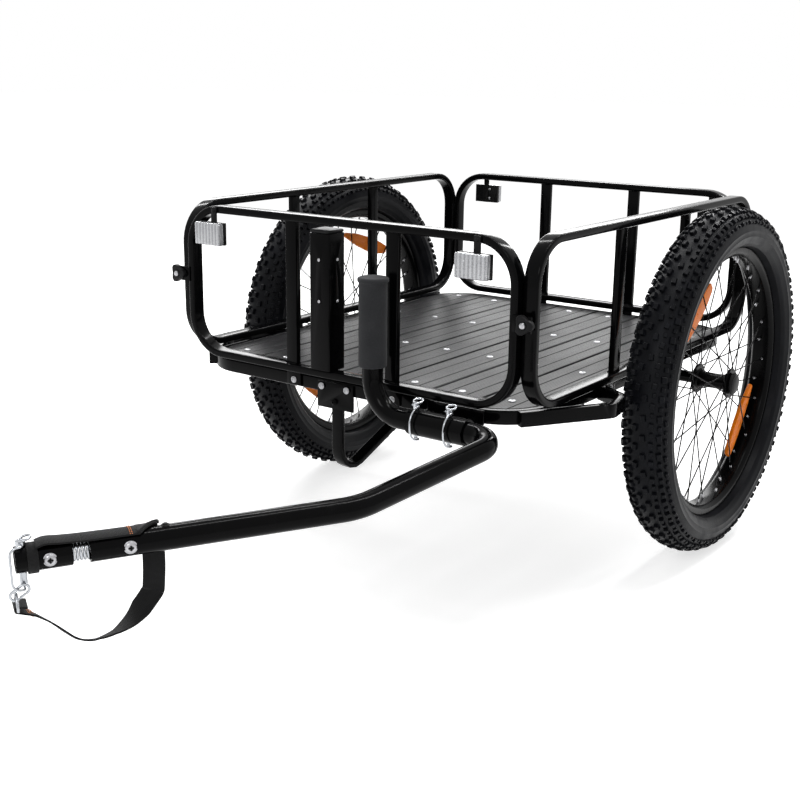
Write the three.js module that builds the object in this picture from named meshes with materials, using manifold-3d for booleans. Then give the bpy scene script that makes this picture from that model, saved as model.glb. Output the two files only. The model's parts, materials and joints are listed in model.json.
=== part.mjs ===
// Two-wheeled cargo trailer towed by a bicycle: a flat slatted bed with four railing panels, spoked wheels
// with knobbed tyres, and a bent tow arm that ends in a sprung hitch.
// Lengths are in millimetres. -Y is forwards, +X is the trailer's left, and z = 0 is the ground.
// The pieces are made with the axle over y = 0, and moved together at the end.

import * as THREE from "three";
import { mergeVertices } from "three/addons/utils/BufferGeometryUtils.js";
import Module from "manifold-3d";

const wasm = await Module();
wasm.setup();

// Clearances and overruns
const seatGap = 0.3;
const cutOverrun = 2;
const weldDepth = 1;
const boreSides = 12;
const barSides = 8;
const boltSides = 6;
const screwSides = 6;
const roundTubeSides = 16;

// Bolts and screws
const boltRadius = 5;
const boltHeight = 3;
const screwRadius = 4.2;
const screwHeight = 1.2;

// Tyres
const trackWidth = 732;
const tyreRadius = 273;
const tyreWidth = 74;
const tyreWall = 4;
const tyreSectionRadius = 236;
const wheelSides = 24;
const treadDepth = 5;
const centreKnobWidth = 15;
const centreKnobLength = 26;
const centreKnobOffset = 4;
const shoulderKnobWidth = 15;
const shoulderKnobLength = 34;
const knobTopShare = 0.9;
const crownSteps = 7;
const linerSteps = 3;
const sidewallEndDegrees = -42;

// Rims
const rimHalfWidth = 18.3;
const rimInnerRadius = 197;
const rimFlangeRadius = 211;
const rimFlangeWidth = 2.5;
const rimSeatRadius = 204.3;
const rimChamfer = 5.3;

// Hubs and spokes
const hubInboardEnd = 31.5;
const hubOutboardEnd = 29.5;
const hubBarrelRadius = 13.5;
const hubEndRadius = 15;
const hubFlangeRadius = 23;
const hubFlangeWidth = 4.2;
const hubEndLength = 2;
const spokeCount = 36;
const spokeRadius = 1;
const spokeHoleRadius = 20.3;
const spokeLaceDegrees = 60;
const spokeWeave = 2.1;
const spokeRimOffset = 3;
const spokeSides = 3;
const hubCapRadius = 17;
const hubCapLength = 7;
const hubSides = 12;

// Spoke reflectors
const wheelReflectorInner = 146;
const wheelReflectorOuter = 170;
const wheelReflectorDegrees = 44;
const wheelReflectorSteps = 5;
const leftReflectorDegrees = [130, -37];
const rightReflectorDegrees = [72, -123];

// Axle
const axleHeight = tyreRadius;
const axleBeamRadius = 9;
const axleStubRadius = 6;

// Base frame
const baseHalfWidth = 297;
const baseFront = -478;
const baseRear = 240;
const baseTop = 308;
const baseTubeHeight = 20;
const baseTubeWidth = 11.5;
const baseCornerRadius = 80;
const tubeEdge = 2.5;
const tubeBendSteps = 4;
const tightBendSteps = 2;
const crossbarRows = [-414, -212.5, -10.7, 191];
const crossbarWidth = 22;
const crossbarHeight = 12;
const saddleLength = 70;
const saddleFootLength = 26;
const saddleWall = 7;
const saddleBoltOffset = 32;

// Floor planks
const plankCount = 7;
const plankThickness = 10;
const plankJoint = 3.6;
const plankChamfer = 1.4;
const plankGrooveWidth = 2.2;
const plankGrooveDepth = 1.2;
const plankGrooveSpacing = 15;

// Railing panels
const panelTubeWidth = 11.2;
const panelTubeDepth = 22;
const panelBottom = 312;
const panelTop = 543;
const panelBendRadius = 64;
const panelFrontOverhang = 14;
const panelRearOverhang = 19.5;
const panelSideOverhang = 17.5;
const sidePanelInset = 1.4;
const barWidth = 20;
const barThickness = 9;
const endBarOffset = 90;
const sideBarPlaces = [-230, -12];
const tabWidth = 26;
const tabThickness = 3;
const tabBottom = 290;

// Corner latches
const knobHeight = 435;
const knobRadius = 12;
const knobLobe = 2.6;
const knobThickness = 7;
const knobLobes = 3;
const knobSides = 18;
const knobStudRadius = 4;
const knobStudReach = 4;
const knobStudOffset = 3.5;
const studCollarRadius = 6;
const latchPlateHeight = 24;
const latchPlateWidth = 36;
const latchPlateThickness = 2;

// Front post
const postSize = 36;
const postCentre = -30;
const postFront = -494;
const postTop = 520;
const postWall = 2;
const postCapHeight = 5;
const postCapCrown = 3;
const postCorner = 3;
const postScrewHeights = [424, 483];

// Panel reflectors
const lensWidth = 50;
const lensHeight = 33;
const lensThickness = 6;
const lensCrown = 4;
const lensCentre = 232;
const lensHeightCentre = 503;
const lensRibs = 8;
const lensRibDepth = 0.8;
const backPlateThickness = 4;
const stemWidth = 10;
const stemThickness = 3;
const stemTop = 541;

// Wheel guards
const guardTubeWidth = 11.5;
const guardRoute = [[281, -455], [357, -338], [349, -289], [283, -251]];
const guardBends = [16, 20];
const guardBendSteps = 4;
const gussetThickness = 3;
const gussetLength = 34;

// Front stand
const standCentre = -12;
const standWidth = 18;
const standThickness = 9;
const standKneeHeight = 157.4;
const standKneeRadius = 32.5;
const standBraceDegrees = 22;
const standBraceEnd = -250;
const standFootRadius = 18;
const standFootRun = 28;
const standFootLength = 34;
const standBracketWidth = 66;
const standBracketThickness = 3;
const standBracketDrop = 22;
const standBoltOffset = 23;
const standBendSteps = 5;

// Tow arm and its receiver
const armRadius = 14.5;
const armSides = 12;
const armBendSteps = 4;
const armAhead = 40;
const armHeight = 286.5;
const handleX = 84;
const handleTop = 470;
const handleBend = 50;
const elbowX = 294;
const elbowBend = 36;
const kneePoint = [249, -759, 255];
const kneeBend = 110;
const armEnd = [86.7, -1019.7, 247.4];
const sleeveStart = 150;
const sleeveEnd = 241;
const sleeveWall = 3.2;
const sleeveBracketWall = 5;
const sleeveBracketInset = 10;
const gripRadius = 19.5;
const gripLength = 123;
const gripFlange = 2;
const gripFlangeLength = 7;
const gripCrown = 5;

// Lock pins
const lockPinPlaces = [157.5, 211];
const lockPinRadius = 3;
const bailWireRadius = 1.3;
const bailClearance = 3.5;
const bailBend = 2.4;
const bailTail = 2;
const ringRadius = 6.5;
const ringWireRadius = 1.4;
const ringTiltDegrees = 14;
const ringSides = 5;
const ringSteps = 8;
const bailWireSides = 6;
const bailBendSteps = 2;
const pinHeadWall = 1.2;

// Sprung hitch, measured along the arm from the middle of the spring
const springHalfGap = 9;
const springBoreDepth = 8;
const springBoreRadius = 12.2;
const springWireRadius = 1.6;
const springCoilRadius = 9.8;
const springTurns = 5.5;
const springElbow = 3.2;
const springStepsPerTurn = 8;
const springSides = 5;
const headEnd = 68;
const headMouthDepth = 26;
const headMouthRadius = 12.2;
const bigBoltRadius = 6.3;
const bigBoltHeight = 3.4;
const bigBoltPlace = 33;
const hitchPinPlace = 60.5;
const hitchPinRadius = 4;
const hitchPivotHeight = 17.6;
const hitchBailAhead = 12.5;
const hitchBailDrop = 48;
const hitchBailOffset = 11.5;
const hitchBailCorner = 9;

// Safety strap and its hardware
const strapWidth = 25;
const strapThickness = 2;
const strapFoldPlace = -81;
const strapFoldRadius = 1.6;
const strapCurlRadius = 3.1;
const strapCurl = [70, -52];
const strapCurlTurns = [21, 60, 100, 140, 180, 205];
const strapTail = 9;
const strapTop = [[46, 17], [36, 19.5], [20, 18.2], [0, 17.2], [-25, 16.6], [-48, 16.2], [-62, 16.2]];
const strapHang = [
  [-81, -13.2, 19.4, 1, 0, 0],
  [-81, -15.7, 18.8, 1, 0, 0],
  [-81, -17.5, 17, 1, 0, 0],
  [-81, -18.2, 14, 1, 0, 0],
  [-81, -18.4, -12, 1, 0, 0],
  [-80.5, -18.5, -38, 1, 0, 0.05],
  [-77.5, -18.5, -60, 1, 0, 0.15],
  [-72, -18.3, -76, 0.94, -0.2, 0.3],
  [-63, -17.6, -89, 0.6, -0.6, 0.45],
  [-49, -16.5, -100, 0.3, -0.9, 0.35],
  [-31, -14.8, -108.5, 0.1, -0.97, 0.2],
  [-12, -13, -112.3, 0.03, -1, 0.1],
  [4, -11, -109.5, 0, -1, 0.02],
  [17, -8.5, -100, 0, -1, 0],
  [30, -5.5, -86, 0, -1, 0],
  [43, -3, -73.5, 0, -1, 0],
  [55, -1, -64, 0, -1, 0],
  [64, 0, -58, 0, -1, 0],
];
const collarWidth = 11;
const collarPlace = 40.5;
const collarThickness = 2;
const dRingHalfWidth = 15.1;
const dRingHeight = 17;
const dRingWire = 3.2;
const dRingSteps = 5;
const hookEndSteps = 4;
const hookThickness = 3.4;
const hookWire = 2.8;
const hookInnerHalfWidth = 3.7;
const gateLength = 8.5;
const gateSide = -1;
const hookEndRoom = 3.9;
const hookShift = 1.2;

const group = new THREE.Group();
group.name = "cargo_bike_trailer";

const blackPaint = { color: 0x121214, roughness: 0.35, metalness: 0.4 };
const blackPlastic = { color: 0x161617, roughness: 0.6, metalness: 0 };
const tyreRubber = { color: 0x17171a, roughness: 0.85, metalness: 0 };
const foam = { color: 0x2b2c30, roughness: 0.95, metalness: 0 };
const chrome = { color: 0xd8dade, roughness: 0.15, metalness: 1 };
const plankFinish = { color: 0x2b2c2e, roughness: 0.45, metalness: 0.3 };
const orangeLens = { color: 0xf28a12, roughness: 0.3, metalness: 0 };
const clearLens = { color: 0xd9dde0, roughness: 0.2, metalness: 0.1 };
const webbing = { color: 0x19191b, roughness: 0.9, metalness: 0 };

// Geometry helpers

function solidOf(geometry) {
  const bare = geometry.clone();
  bare.deleteAttribute("normal");
  bare.deleteAttribute("uv");
  const merged = mergeVertices(bare);
  const corners = merged.index.array;
  const kept = [];
  for (let i = 0; i < corners.length; i += 3) {
    const [a, b, c] = [corners[i], corners[i + 1], corners[i + 2]];
    if (a !== b && b !== c && c !== a) kept.push(a, b, c);
  }
  return new wasm.Manifold(
    new wasm.Mesh({
      numProp: 3,
      vertProperties: new Float32Array(merged.attributes.position.array),
      triVerts: new Uint32Array(kept),
    }),
  );
}

function geometryOf(solid) {
  const mesh = solid.getMesh();
  const geometry = new THREE.BufferGeometry();
  geometry.setAttribute("position", new THREE.BufferAttribute(mesh.vertProperties, 3));
  geometry.setIndex(new THREE.BufferAttribute(mesh.triVerts, 1));
  geometry.computeVertexNormals();
  return geometry;
}

function weld(...shapes) {
  return geometryOf(shapes.map(solidOf).reduce((whole, next) => whole.add(next)));
}

function carve(shape, ...tools) {
  return geometryOf(tools.map(solidOf).reduce((whole, tool) => whole.subtract(tool), solidOf(shape)));
}

function common(shape, other) {
  return geometryOf(solidOf(shape).intersect(solidOf(other)));
}

function addPiece(name, geometry, finish, parent = group) {
  const mesh = new THREE.Mesh(geometryOf(solidOf(geometry)), new THREE.MeshStandardMaterial(finish));
  mesh.name = name;
  parent.add(mesh);
  return mesh;
}

function block(width, depth, height, x, y, z) {
  return new THREE.BoxGeometry(width, depth, height).translate(x, y, z);
}

// A round bar between two values along one axis, through a point given by its other two coordinates.
function rod(axis, radius, from, to, first, second, sides = barSides) {
  const bar = new THREE.CylinderGeometry(radius, radius, to - from, sides);
  const middle = (from + to) / 2;
  if (axis === "x") return bar.rotateZ(-Math.PI / 2).translate(middle, first, second);
  if (axis === "y") return bar.translate(first, middle, second);
  return bar.rotateX(Math.PI / 2).translate(first, second, middle);
}

// Turns a piece that stands on the XZ plane towards +Y to face along Y or X, and moves it into place.
function faceAlong(axis, sign, head, x, y, z) {
  if (axis === "x") return head.rotateZ((-sign * Math.PI) / 2).translate(x, y, z);
  if (axis === "z") return head.rotateX((sign * Math.PI) / 2).translate(x, y, z);
  return head.rotateX(sign < 0 ? Math.PI : 0).translate(x, y, z);
}

// A domed bolt head on a flat face.
function boltHead(axis, sign, x, y, z, radius = boltRadius, height = boltHeight) {
  const head = lathe([
    [0, -weldDepth],
    [radius, -weldDepth],
    [radius, height / 2],
    [radius * 0.5, height],
    [0, height],
  ], boltSides);
  return faceAlong(axis, sign, head, x, y, z);
}

// A small low screw head on a flat face.
function screwHead(axis, sign, x, y, z) {
  const rim = [[screwRadius, -weldDepth], [screwRadius, screwHeight / 2]];
  const profile = [[0, -weldDepth], ...rim, [0, screwHeight]];
  return faceAlong(axis, sign, lathe(profile, screwSides), x, y, z);
}

function lathe(points, sides) {
  return new THREE.LatheGeometry(points.map(([radius, along]) => new THREE.Vector2(radius, along)), sides);
}

// The outline of a rectangle with round corners, centred on the origin.
function roundedOutline(outline, width, height, radius) {
  const [x, y] = [width / 2, height / 2];
  outline.moveTo(x, -y + radius);
  outline.absarc(x - radius, y - radius, radius, 0, Math.PI / 2, false);
  outline.absarc(-x + radius, y - radius, radius, Math.PI / 2, Math.PI, false);
  outline.absarc(-x + radius, -y + radius, radius, Math.PI, 1.5 * Math.PI, false);
  outline.absarc(x - radius, -y + radius, radius, 1.5 * Math.PI, 2 * Math.PI, false);
  outline.closePath();
  return outline;
}

// A closed loop of flat tube with round corners, lying in the XY plane from z = 0 up, its edges eased.
function tubeLoop(width, height, radius, tubeWidth, depth) {
  const outline = roundedOutline(new THREE.Shape(), width, height, radius);
  const [clearWidth, clearHeight] = [width - 2 * tubeWidth, height - 2 * tubeWidth];
  outline.holes.push(roundedOutline(new THREE.Path(), clearWidth, clearHeight, radius - tubeWidth));
  const loop = new THREE.ExtrudeGeometry(outline, {
    depth: depth - 2 * tubeEdge,
    curveSegments: tubeBendSteps,
    bevelSegments: 1,
    bevelThickness: tubeEdge,
    bevelSize: tubeEdge,
    bevelOffset: -tubeEdge,
  });
  return loop.translate(0, 0, tubeEdge);
}

// Stations along straight runs joined by round bends.
function bentStations(corners, bendRadii, bendSteps) {
  const stations = [];
  let heading = corners[1].clone().sub(corners[0]).normalize();
  stations.push({ point: corners[0].clone(), tangent: heading.clone() });
  for (let i = 1; i < corners.length - 1; i += 1) {
    const next = corners[i + 1].clone().sub(corners[i]).normalize();
    const angle = heading.angleTo(next);
    const radius = bendRadii[i - 1];
    const start = corners[i].clone().addScaledVector(heading, -radius * Math.tan(angle / 2));
    const axis = heading.clone().cross(next).normalize();
    const centre = start.clone().addScaledVector(axis.clone().cross(heading), radius);
    for (let step = 0; step <= bendSteps; step += 1) {
      const turn = (angle * step) / bendSteps;
      const point = start.clone().sub(centre).applyAxisAngle(axis, turn).add(centre);
      stations.push({ point, tangent: heading.clone().applyAxisAngle(axis, turn) });
    }
    heading = next;
  }
  stations.push({ point: corners.at(-1).clone(), tangent: heading.clone() });
  return stations;
}

class StationPath extends THREE.Curve {
  constructor(stations) {
    super();
    this.stations = stations;
  }

  station(share) {
    return this.stations[Math.round(share * (this.stations.length - 1))];
  }

  getPointAt(share) {
    return this.station(share).point.clone();
  }

  getTangentAt(share) {
    return this.station(share).tangent.clone();
  }
}

function roundSection(radius, sides) {
  const points = [];
  for (let i = 0; i < sides; i += 1) {
    const angle = (2 * Math.PI * i) / sides;
    points.push(new THREE.Vector2(radius * Math.cos(angle), radius * Math.sin(angle)));
  }
  return new THREE.Shape(points);
}

function bentRod(stations, radius, sides) {
  return new THREE.ExtrudeGeometry(roundSection(radius, sides), {
    steps: stations.length - 1,
    extrudePath: new StationPath(stations),
    bevelEnabled: false,
  });
}

// A flat strip of even thickness that follows bends in the XY plane, from z = 0 up.
function bentStrip(stations, thickness, width) {
  const leftSide = [];
  const rightSide = [];
  for (const { point, tangent } of stations) {
    const offset = new THREE.Vector2(-tangent.y, tangent.x).multiplyScalar(thickness / 2);
    leftSide.push(new THREE.Vector2(point.x, point.y).add(offset));
    rightSide.push(new THREE.Vector2(point.x, point.y).sub(offset));
  }
  const outline = new THREE.Shape([...leftSide, ...rightSide.reverse()]);
  return new THREE.ExtrudeGeometry(outline, { depth: width, bevelEnabled: false });
}

// A closed skin over rings of points, all with the same count, capped flat at both ends.
function loft(rings) {
  const count = rings[0].length;
  const positions = rings.flat().flatMap((point) => point.toArray());
  const index = [];
  for (let ring = 0; ring < rings.length - 1; ring += 1) {
    for (let i = 0; i < count; i += 1) {
      const a = ring * count + i;
      const b = ring * count + ((i + 1) % count);
      index.push(a, b, a + count, b, b + count, a + count);
    }
  }
  const last = (rings.length - 1) * count;
  for (let i = 1; i < count - 1; i += 1) {
    index.push(0, i + 1, i);
    index.push(last, last + i, last + i + 1);
  }
  const geometry = new THREE.BufferGeometry();
  geometry.setAttribute("position", new THREE.Float32BufferAttribute(positions, 3));
  geometry.setIndex(index);
  return geometry;
}

// Base frame

const baseWidth = 2 * baseHalfWidth;
const baseLength = baseRear - baseFront;
const baseMiddle = (baseRear + baseFront) / 2;
const baseBottom = baseTop - baseTubeHeight;
const bedHalfWidth = baseHalfWidth - baseTubeWidth;
const crossbarTop = baseTop - plankThickness - seatGap;

function makeBaseFrame() {
  const ring = tubeLoop(baseWidth, baseLength, baseCornerRadius, baseTubeWidth, baseTubeHeight);
  const parts = [ring.translate(0, baseMiddle, baseBottom)];
  const barLength = 2 * bedHalfWidth + 2 * weldDepth;
  for (const row of crossbarRows) {
    parts.push(block(barLength, crossbarWidth, crossbarHeight, 0, row, crossbarTop - crossbarHeight / 2));
  }
  for (const side of [-1, 1]) {
    parts.push(makeSaddle(side));
    for (const along of [-1, 1]) {
      const height = baseBottom + baseTubeHeight / 2;
      parts.push(boltHead("x", side, side * baseHalfWidth, along * saddleBoltOffset, height));
    }
  }
  const reach = baseHalfWidth + cutOverrun;
  const bore = rod("x", axleBeamRadius + seatGap, -reach, reach, 0, axleHeight, roundTubeSides);
  return carve(weld(...parts), bore);
}

// The plate under each side rail that the axle passes through, wide at the rail and narrow round the axle.
function makeSaddle(side) {
  const foot = axleHeight - axleBeamRadius - saddleWall;
  const outline = new THREE.Shape([
    new THREE.Vector2(-saddleLength / 2, baseBottom + weldDepth),
    new THREE.Vector2(-saddleFootLength / 2, foot),
    new THREE.Vector2(saddleFootLength / 2, foot),
    new THREE.Vector2(saddleLength / 2, baseBottom + weldDepth),
  ]);
  const inset = tubeEdge;
  const plate = new THREE.ExtrudeGeometry(outline, { depth: baseTubeWidth - 2 * inset, bevelEnabled: false });
  const start = side > 0 ? bedHalfWidth + inset : -baseHalfWidth + inset;
  return ontoSidePlane(plate).translate(start, 0, 0);
}

// Floor planks, cut to the round corners of the base frame

const bedLength = baseLength - 2 * baseTubeWidth - 2 * seatGap;
const bedWidth = 2 * (bedHalfWidth - seatGap);
const plankPitch = bedWidth / plankCount;
const plankBottom = baseTop - plankThickness;

function plankSection() {
  const half = (plankPitch - plankJoint) / 2;
  const shoulder = baseTop - plankChamfer;
  const outline = [
    new THREE.Vector2(-half, plankBottom),
    new THREE.Vector2(half, plankBottom),
    new THREE.Vector2(half, shoulder),
    new THREE.Vector2(half - plankChamfer, baseTop),
  ];
  for (const groove of [plankGrooveSpacing, -plankGrooveSpacing]) {
    outline.push(new THREE.Vector2(groove + plankGrooveWidth / 2, baseTop));
    outline.push(new THREE.Vector2(groove, baseTop - plankGrooveDepth));
    outline.push(new THREE.Vector2(groove - plankGrooveWidth / 2, baseTop));
  }
  outline.push(new THREE.Vector2(plankChamfer - half, baseTop), new THREE.Vector2(-half, shoulder));
  return new THREE.Shape(outline);
}

function makePlank(index) {
  const centre = (index - (plankCount - 1) / 2) * plankPitch;
  const plank = new THREE.ExtrudeGeometry(plankSection(), { depth: bedLength, bevelEnabled: false });
  plank.rotateX(Math.PI / 2).translate(centre, baseMiddle + bedLength / 2, 0);
  const corner = baseCornerRadius - baseTubeWidth;
  const bed = new THREE.ExtrudeGeometry(roundedOutline(new THREE.Shape(), bedWidth, bedLength, corner), {
    depth: plankThickness + 2 * cutOverrun,
    curveSegments: tubeBendSteps,
    bevelEnabled: false,
  });
  bed.translate(0, baseMiddle, plankBottom - cutOverrun);
  const screws = crossbarRows.map((row) => screwHead("z", 1, centre, row, baseTop));
  return weld(common(plank, bed), ...screws);
}

// Railing panels: a loop of flat tube with upright bars, held to the base by bolted tabs

const panelHeight = panelTop - panelBottom;
const panelMiddle = (panelTop + panelBottom) / 2;
const panelHalfDepth = panelTubeDepth / 2;
const frontPanelPlane = baseFront - panelFrontOverhang + panelHalfDepth;
const rearPanelPlane = baseRear + panelRearOverhang - panelHalfDepth;
const sidePanelPlane = baseHalfWidth + panelSideOverhang - panelHalfDepth;
const sidePanelFront = frontPanelPlane + sidePanelInset;
const sidePanelRear = rearPanelPlane - sidePanelInset;
const endPanelWidth = 2 * (sidePanelPlane - panelHalfDepth - seatGap);
const railMiddle = baseBottom + baseTubeHeight / 2;

// A panel standing in the XZ plane at y = 0, centred on x = 0.
function panelFrame(width, bars) {
  const loop = tubeLoop(width, panelHeight, panelBendRadius, panelTubeWidth, panelTubeDepth);
  loop.rotateX(Math.PI / 2).translate(0, panelHalfDepth, panelMiddle);
  const barHeight = panelHeight - panelTubeWidth;
  const uprights = bars.map((place) => block(barWidth, barThickness, barHeight, place, 0, panelMiddle));
  return [loop, ...uprights];
}

// A bolted tab that hangs from a panel's bottom tube over a rail's outer face, which lies at railFace.
function panelTab(place, railFace) {
  const top = panelBottom + panelTubeWidth / 2;
  const outer = railFace - seatGap - tabThickness;
  const middle = (top + tabBottom) / 2;
  const plate = block(tabWidth, tabThickness, top - tabBottom, place, outer + tabThickness / 2, middle);
  return [plate, boltHead("y", -1, place, outer, railMiddle)];
}

// The plate that carries a corner knob, on the outer face of an end panel's outermost tube.
const latchFace = panelHalfDepth + latchPlateThickness;
const studX = sidePanelPlane + knobStudOffset;

function latchPlate(side) {
  const outer = endPanelWidth / 2 - panelTubeWidth + latchPlateWidth;
  const centre = side * (outer - latchPlateWidth / 2);
  const depth = latchPlateThickness + weldDepth;
  return block(latchPlateWidth, depth, latchPlateHeight, centre, -latchFace + depth / 2, knobHeight);
}

function studHole(side) {
  const reach = latchFace + cutOverrun;
  return rod("y", knobStudRadius + 2 * seatGap, -reach, 0, side * studX, knobHeight, boreSides);
}

// The front panel, or the rear one turned round: its outer face looks along -Y.
function makeEndPanel(railFace) {
  const parts = panelFrame(endPanelWidth, [-endBarOffset, endBarOffset]);
  for (const side of [-1, 1]) {
    parts.push(...panelTab(side * endBarOffset, railFace));
    parts.push(latchPlate(side));
  }
  return carve(weld(...parts), cornerClearance(1), cornerClearance(-1), studHole(1), studHole(-1));
}

// Room for the side panel's tube and stud collar behind the latch plate.
function cornerClearance(side) {
  const inner = endPanelWidth / 2;
  const depth = panelTubeDepth;
  const x = side * (inner + latchPlateWidth / 2 + seatGap / 2);
  const height = latchPlateHeight + cutOverrun;
  return block(latchPlateWidth, depth, height, x, depth / 2 - panelHalfDepth, knobHeight);
}

// The stud that a corner knob turns on, with the collar that holds the latch plate off the side panel.
function cornerStud(tubeFace, panelPlane, direction) {
  const plateBack = panelPlane + direction * panelHalfDepth;
  const tip = plateBack + direction * (latchPlateThickness + seatGap + knobThickness + knobStudReach);
  const root = tubeFace - direction * weldDepth;
  const collarEnd = plateBack - direction * seatGap;
  const [low, high] = [Math.min(root, tip), Math.max(root, tip)];
  const collar = [Math.min(root, collarEnd), Math.max(root, collarEnd)];
  return [
    rod("y", knobStudRadius, low, high, studX, knobHeight),
    rod("y", studCollarRadius, ...collar, studX, knobHeight),
  ];
}

// The panel on the +X side.
function makeSidePanel() {
  const middle = (sidePanelRear + sidePanelFront) / 2;
  const parts = panelFrame(sidePanelRear - sidePanelFront, sideBarPlaces.map((place) => place - middle));
  for (const place of sideBarPlaces) {
    parts.push(...panelTab(place - middle, sidePanelPlane - baseHalfWidth));
  }
  const panel = weld(...parts).rotateZ(Math.PI / 2).translate(sidePanelPlane, middle, 0);
  const studs = [
    ...cornerStud(sidePanelFront, frontPanelPlane, -1),
    ...cornerStud(sidePanelRear, rearPanelPlane, 1),
  ];
  return weld(panel, ...studs);
}

// A three-lobed knob round a stud along Y, with its inner face at y = 0 and its body towards -Y.
function makeCornerKnob() {
  const points = [];
  for (let i = 0; i < knobSides; i += 1) {
    const angle = (2 * Math.PI * i) / knobSides;
    const radius = knobRadius + knobLobe * Math.cos(knobLobes * angle);
    points.push(new THREE.Vector2(radius * Math.cos(angle), radius * Math.sin(angle)));
  }
  const outline = new THREE.Shape(points);
  outline.holes.push(new THREE.Path().absarc(0, 0, knobStudRadius + seatGap, 0, 2 * Math.PI, true));
  const knob = new THREE.ExtrudeGeometry(outline, {
    depth: knobThickness,
    curveSegments: barSides,
    bevelEnabled: false,
  });
  return knob.rotateX(Math.PI / 2);
}

// Front post: a square tube that stands on the front panel's bottom tube

const postBottom = panelBottom + panelTubeWidth + seatGap;

function makeFrontPost() {
  const outline = roundedOutline(new THREE.Shape(), postSize, postSize, postCorner);
  const inside = postSize - 2 * postWall;
  outline.holes.push(roundedOutline(new THREE.Path(), inside, inside, postCorner - postWall));
  const tube = new THREE.ExtrudeGeometry(outline, {
    depth: postTop - postBottom,
    curveSegments: tightBendSteps,
    bevelEnabled: false,
  });
  tube.translate(postCentre, postFront + postSize / 2, postBottom);
  const screws = postScrewHeights.flatMap((height) => [
    screwHead("y", -1, postCentre, postFront, height),
    screwHead("x", 1, postCentre + postSize / 2, postFront + postSize / 2, height),
  ]);
  return weld(tube, ...screws);
}

function makePostCap() {
  const outline = roundedOutline(new THREE.Shape(), postSize, postSize, postCorner + postCapCrown / 2);
  const cap = new THREE.ExtrudeGeometry(outline, {
    depth: postCapHeight - postCapCrown,
    curveSegments: tightBendSteps,
    bevelSegments: 1,
    bevelThickness: postCapCrown / 2,
    bevelSize: postCapCrown / 2,
    bevelOffset: -postCapCrown / 2,
  });
  return cap.translate(postCentre, postFront + postSize / 2, postTop + seatGap + postCapCrown / 2);
}

// Panel reflectors, in the frame of an end panel's outer face at y = 0, which looks along -Y

function makeReflectorBracket() {
  const stemBottom = lensHeightCentre - lensHeight / 2;
  const stemHeight = stemTop - stemBottom;
  const stemMiddle = (stemTop + stemBottom) / 2;
  const stem = block(stemWidth, stemThickness, stemHeight, 0, -seatGap - stemThickness / 2, stemMiddle);
  const plateBack = -seatGap - stemThickness + weldDepth;
  const depth = backPlateThickness + weldDepth;
  const plate = block(lensWidth, depth, lensHeight, 0, plateBack - depth / 2, lensHeightCentre);
  const boltPlace = stemTop - stemWidth / 2;
  const bolt = boltHead("y", -1, 0, -seatGap - stemThickness, boltPlace, stemWidth / 3, stemThickness / 2);
  return weld(stem, plate, bolt);
}

// The lens has a crowned front with upright ribs.
function makeLens() {
  const back = -2 * seatGap - stemThickness - backPlateThickness;
  const points = [new THREE.Vector2(-lensWidth / 2, back)];
  for (let i = 0; i <= 2 * lensRibs; i += 1) {
    const share = i / lensRibs - 1;
    const rib = i % 2 === 0 ? 0 : lensRibDepth;
    const crown = lensCrown * (1 - share * share);
    points.push(new THREE.Vector2((share * lensWidth) / 2, back - lensThickness - crown - rib));
  }
  points.push(new THREE.Vector2(lensWidth / 2, back));
  const lens = new THREE.ExtrudeGeometry(new THREE.Shape(points), { depth: lensHeight, bevelEnabled: false });
  return lens.translate(0, 0, lensHeightCentre - lensHeight / 2);
}

// Wheel guards: bows of flat tube beside the bed, ahead of the wheels

function makeWheelGuard() {
  const corners = guardRoute.map(([x, y]) => new THREE.Vector3(x, y, 0));
  const bow = bentStrip(bentStations(corners, guardBends, guardBendSteps), guardTubeWidth, baseTubeHeight);
  const [start, bend] = corners;
  const gusset = new THREE.Shape([
    new THREE.Vector2(baseHalfWidth, start.y + gussetLength),
    new THREE.Vector2(baseHalfWidth + gussetLength * 0.55, start.y + gussetLength * 1.9),
    new THREE.Vector2(bend.x - gussetLength * 1.2, bend.y - gussetLength * 0.1),
    new THREE.Vector2(baseHalfWidth, start.y + gussetLength * 2),
  ]);
  const web = new THREE.ExtrudeGeometry(gusset, { depth: gussetThickness, bevelEnabled: false });
  web.translate(0, 0, baseTubeHeight / 2);
  const screw = boltHead("z", 1, bend.x - guardTubeWidth * 0.55, bend.y - guardBends[0], baseTubeHeight);
  const guard = weld(bow, web, screw);
  const outline = roundedOutline(
    new THREE.Shape(), baseWidth + 2 * seatGap, baseLength + 2 * seatGap, baseCornerRadius + seatGap);
  const base = new THREE.ExtrudeGeometry(outline, {
    depth: baseTubeHeight + 4 * cutOverrun,
    curveSegments: tubeBendSteps,
    bevelEnabled: false,
  });
  return carve(guard, base.translate(0, baseMiddle, -2 * cutOverrun)).translate(0, 0, baseBottom);
}

// Front stand: a bent flat tube from the front rail down, back and up to the second crossbar

// Maps a drawing in the XY plane to the YZ plane, with its thickness along X.
function ontoSidePlane(geometry) {
  const basis = new THREE.Matrix4().makeBasis(
    new THREE.Vector3(0, 1, 0),
    new THREE.Vector3(0, 0, 1),
    new THREE.Vector3(1, 0, 0),
  );
  return geometry.applyMatrix4(basis);
}

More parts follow.
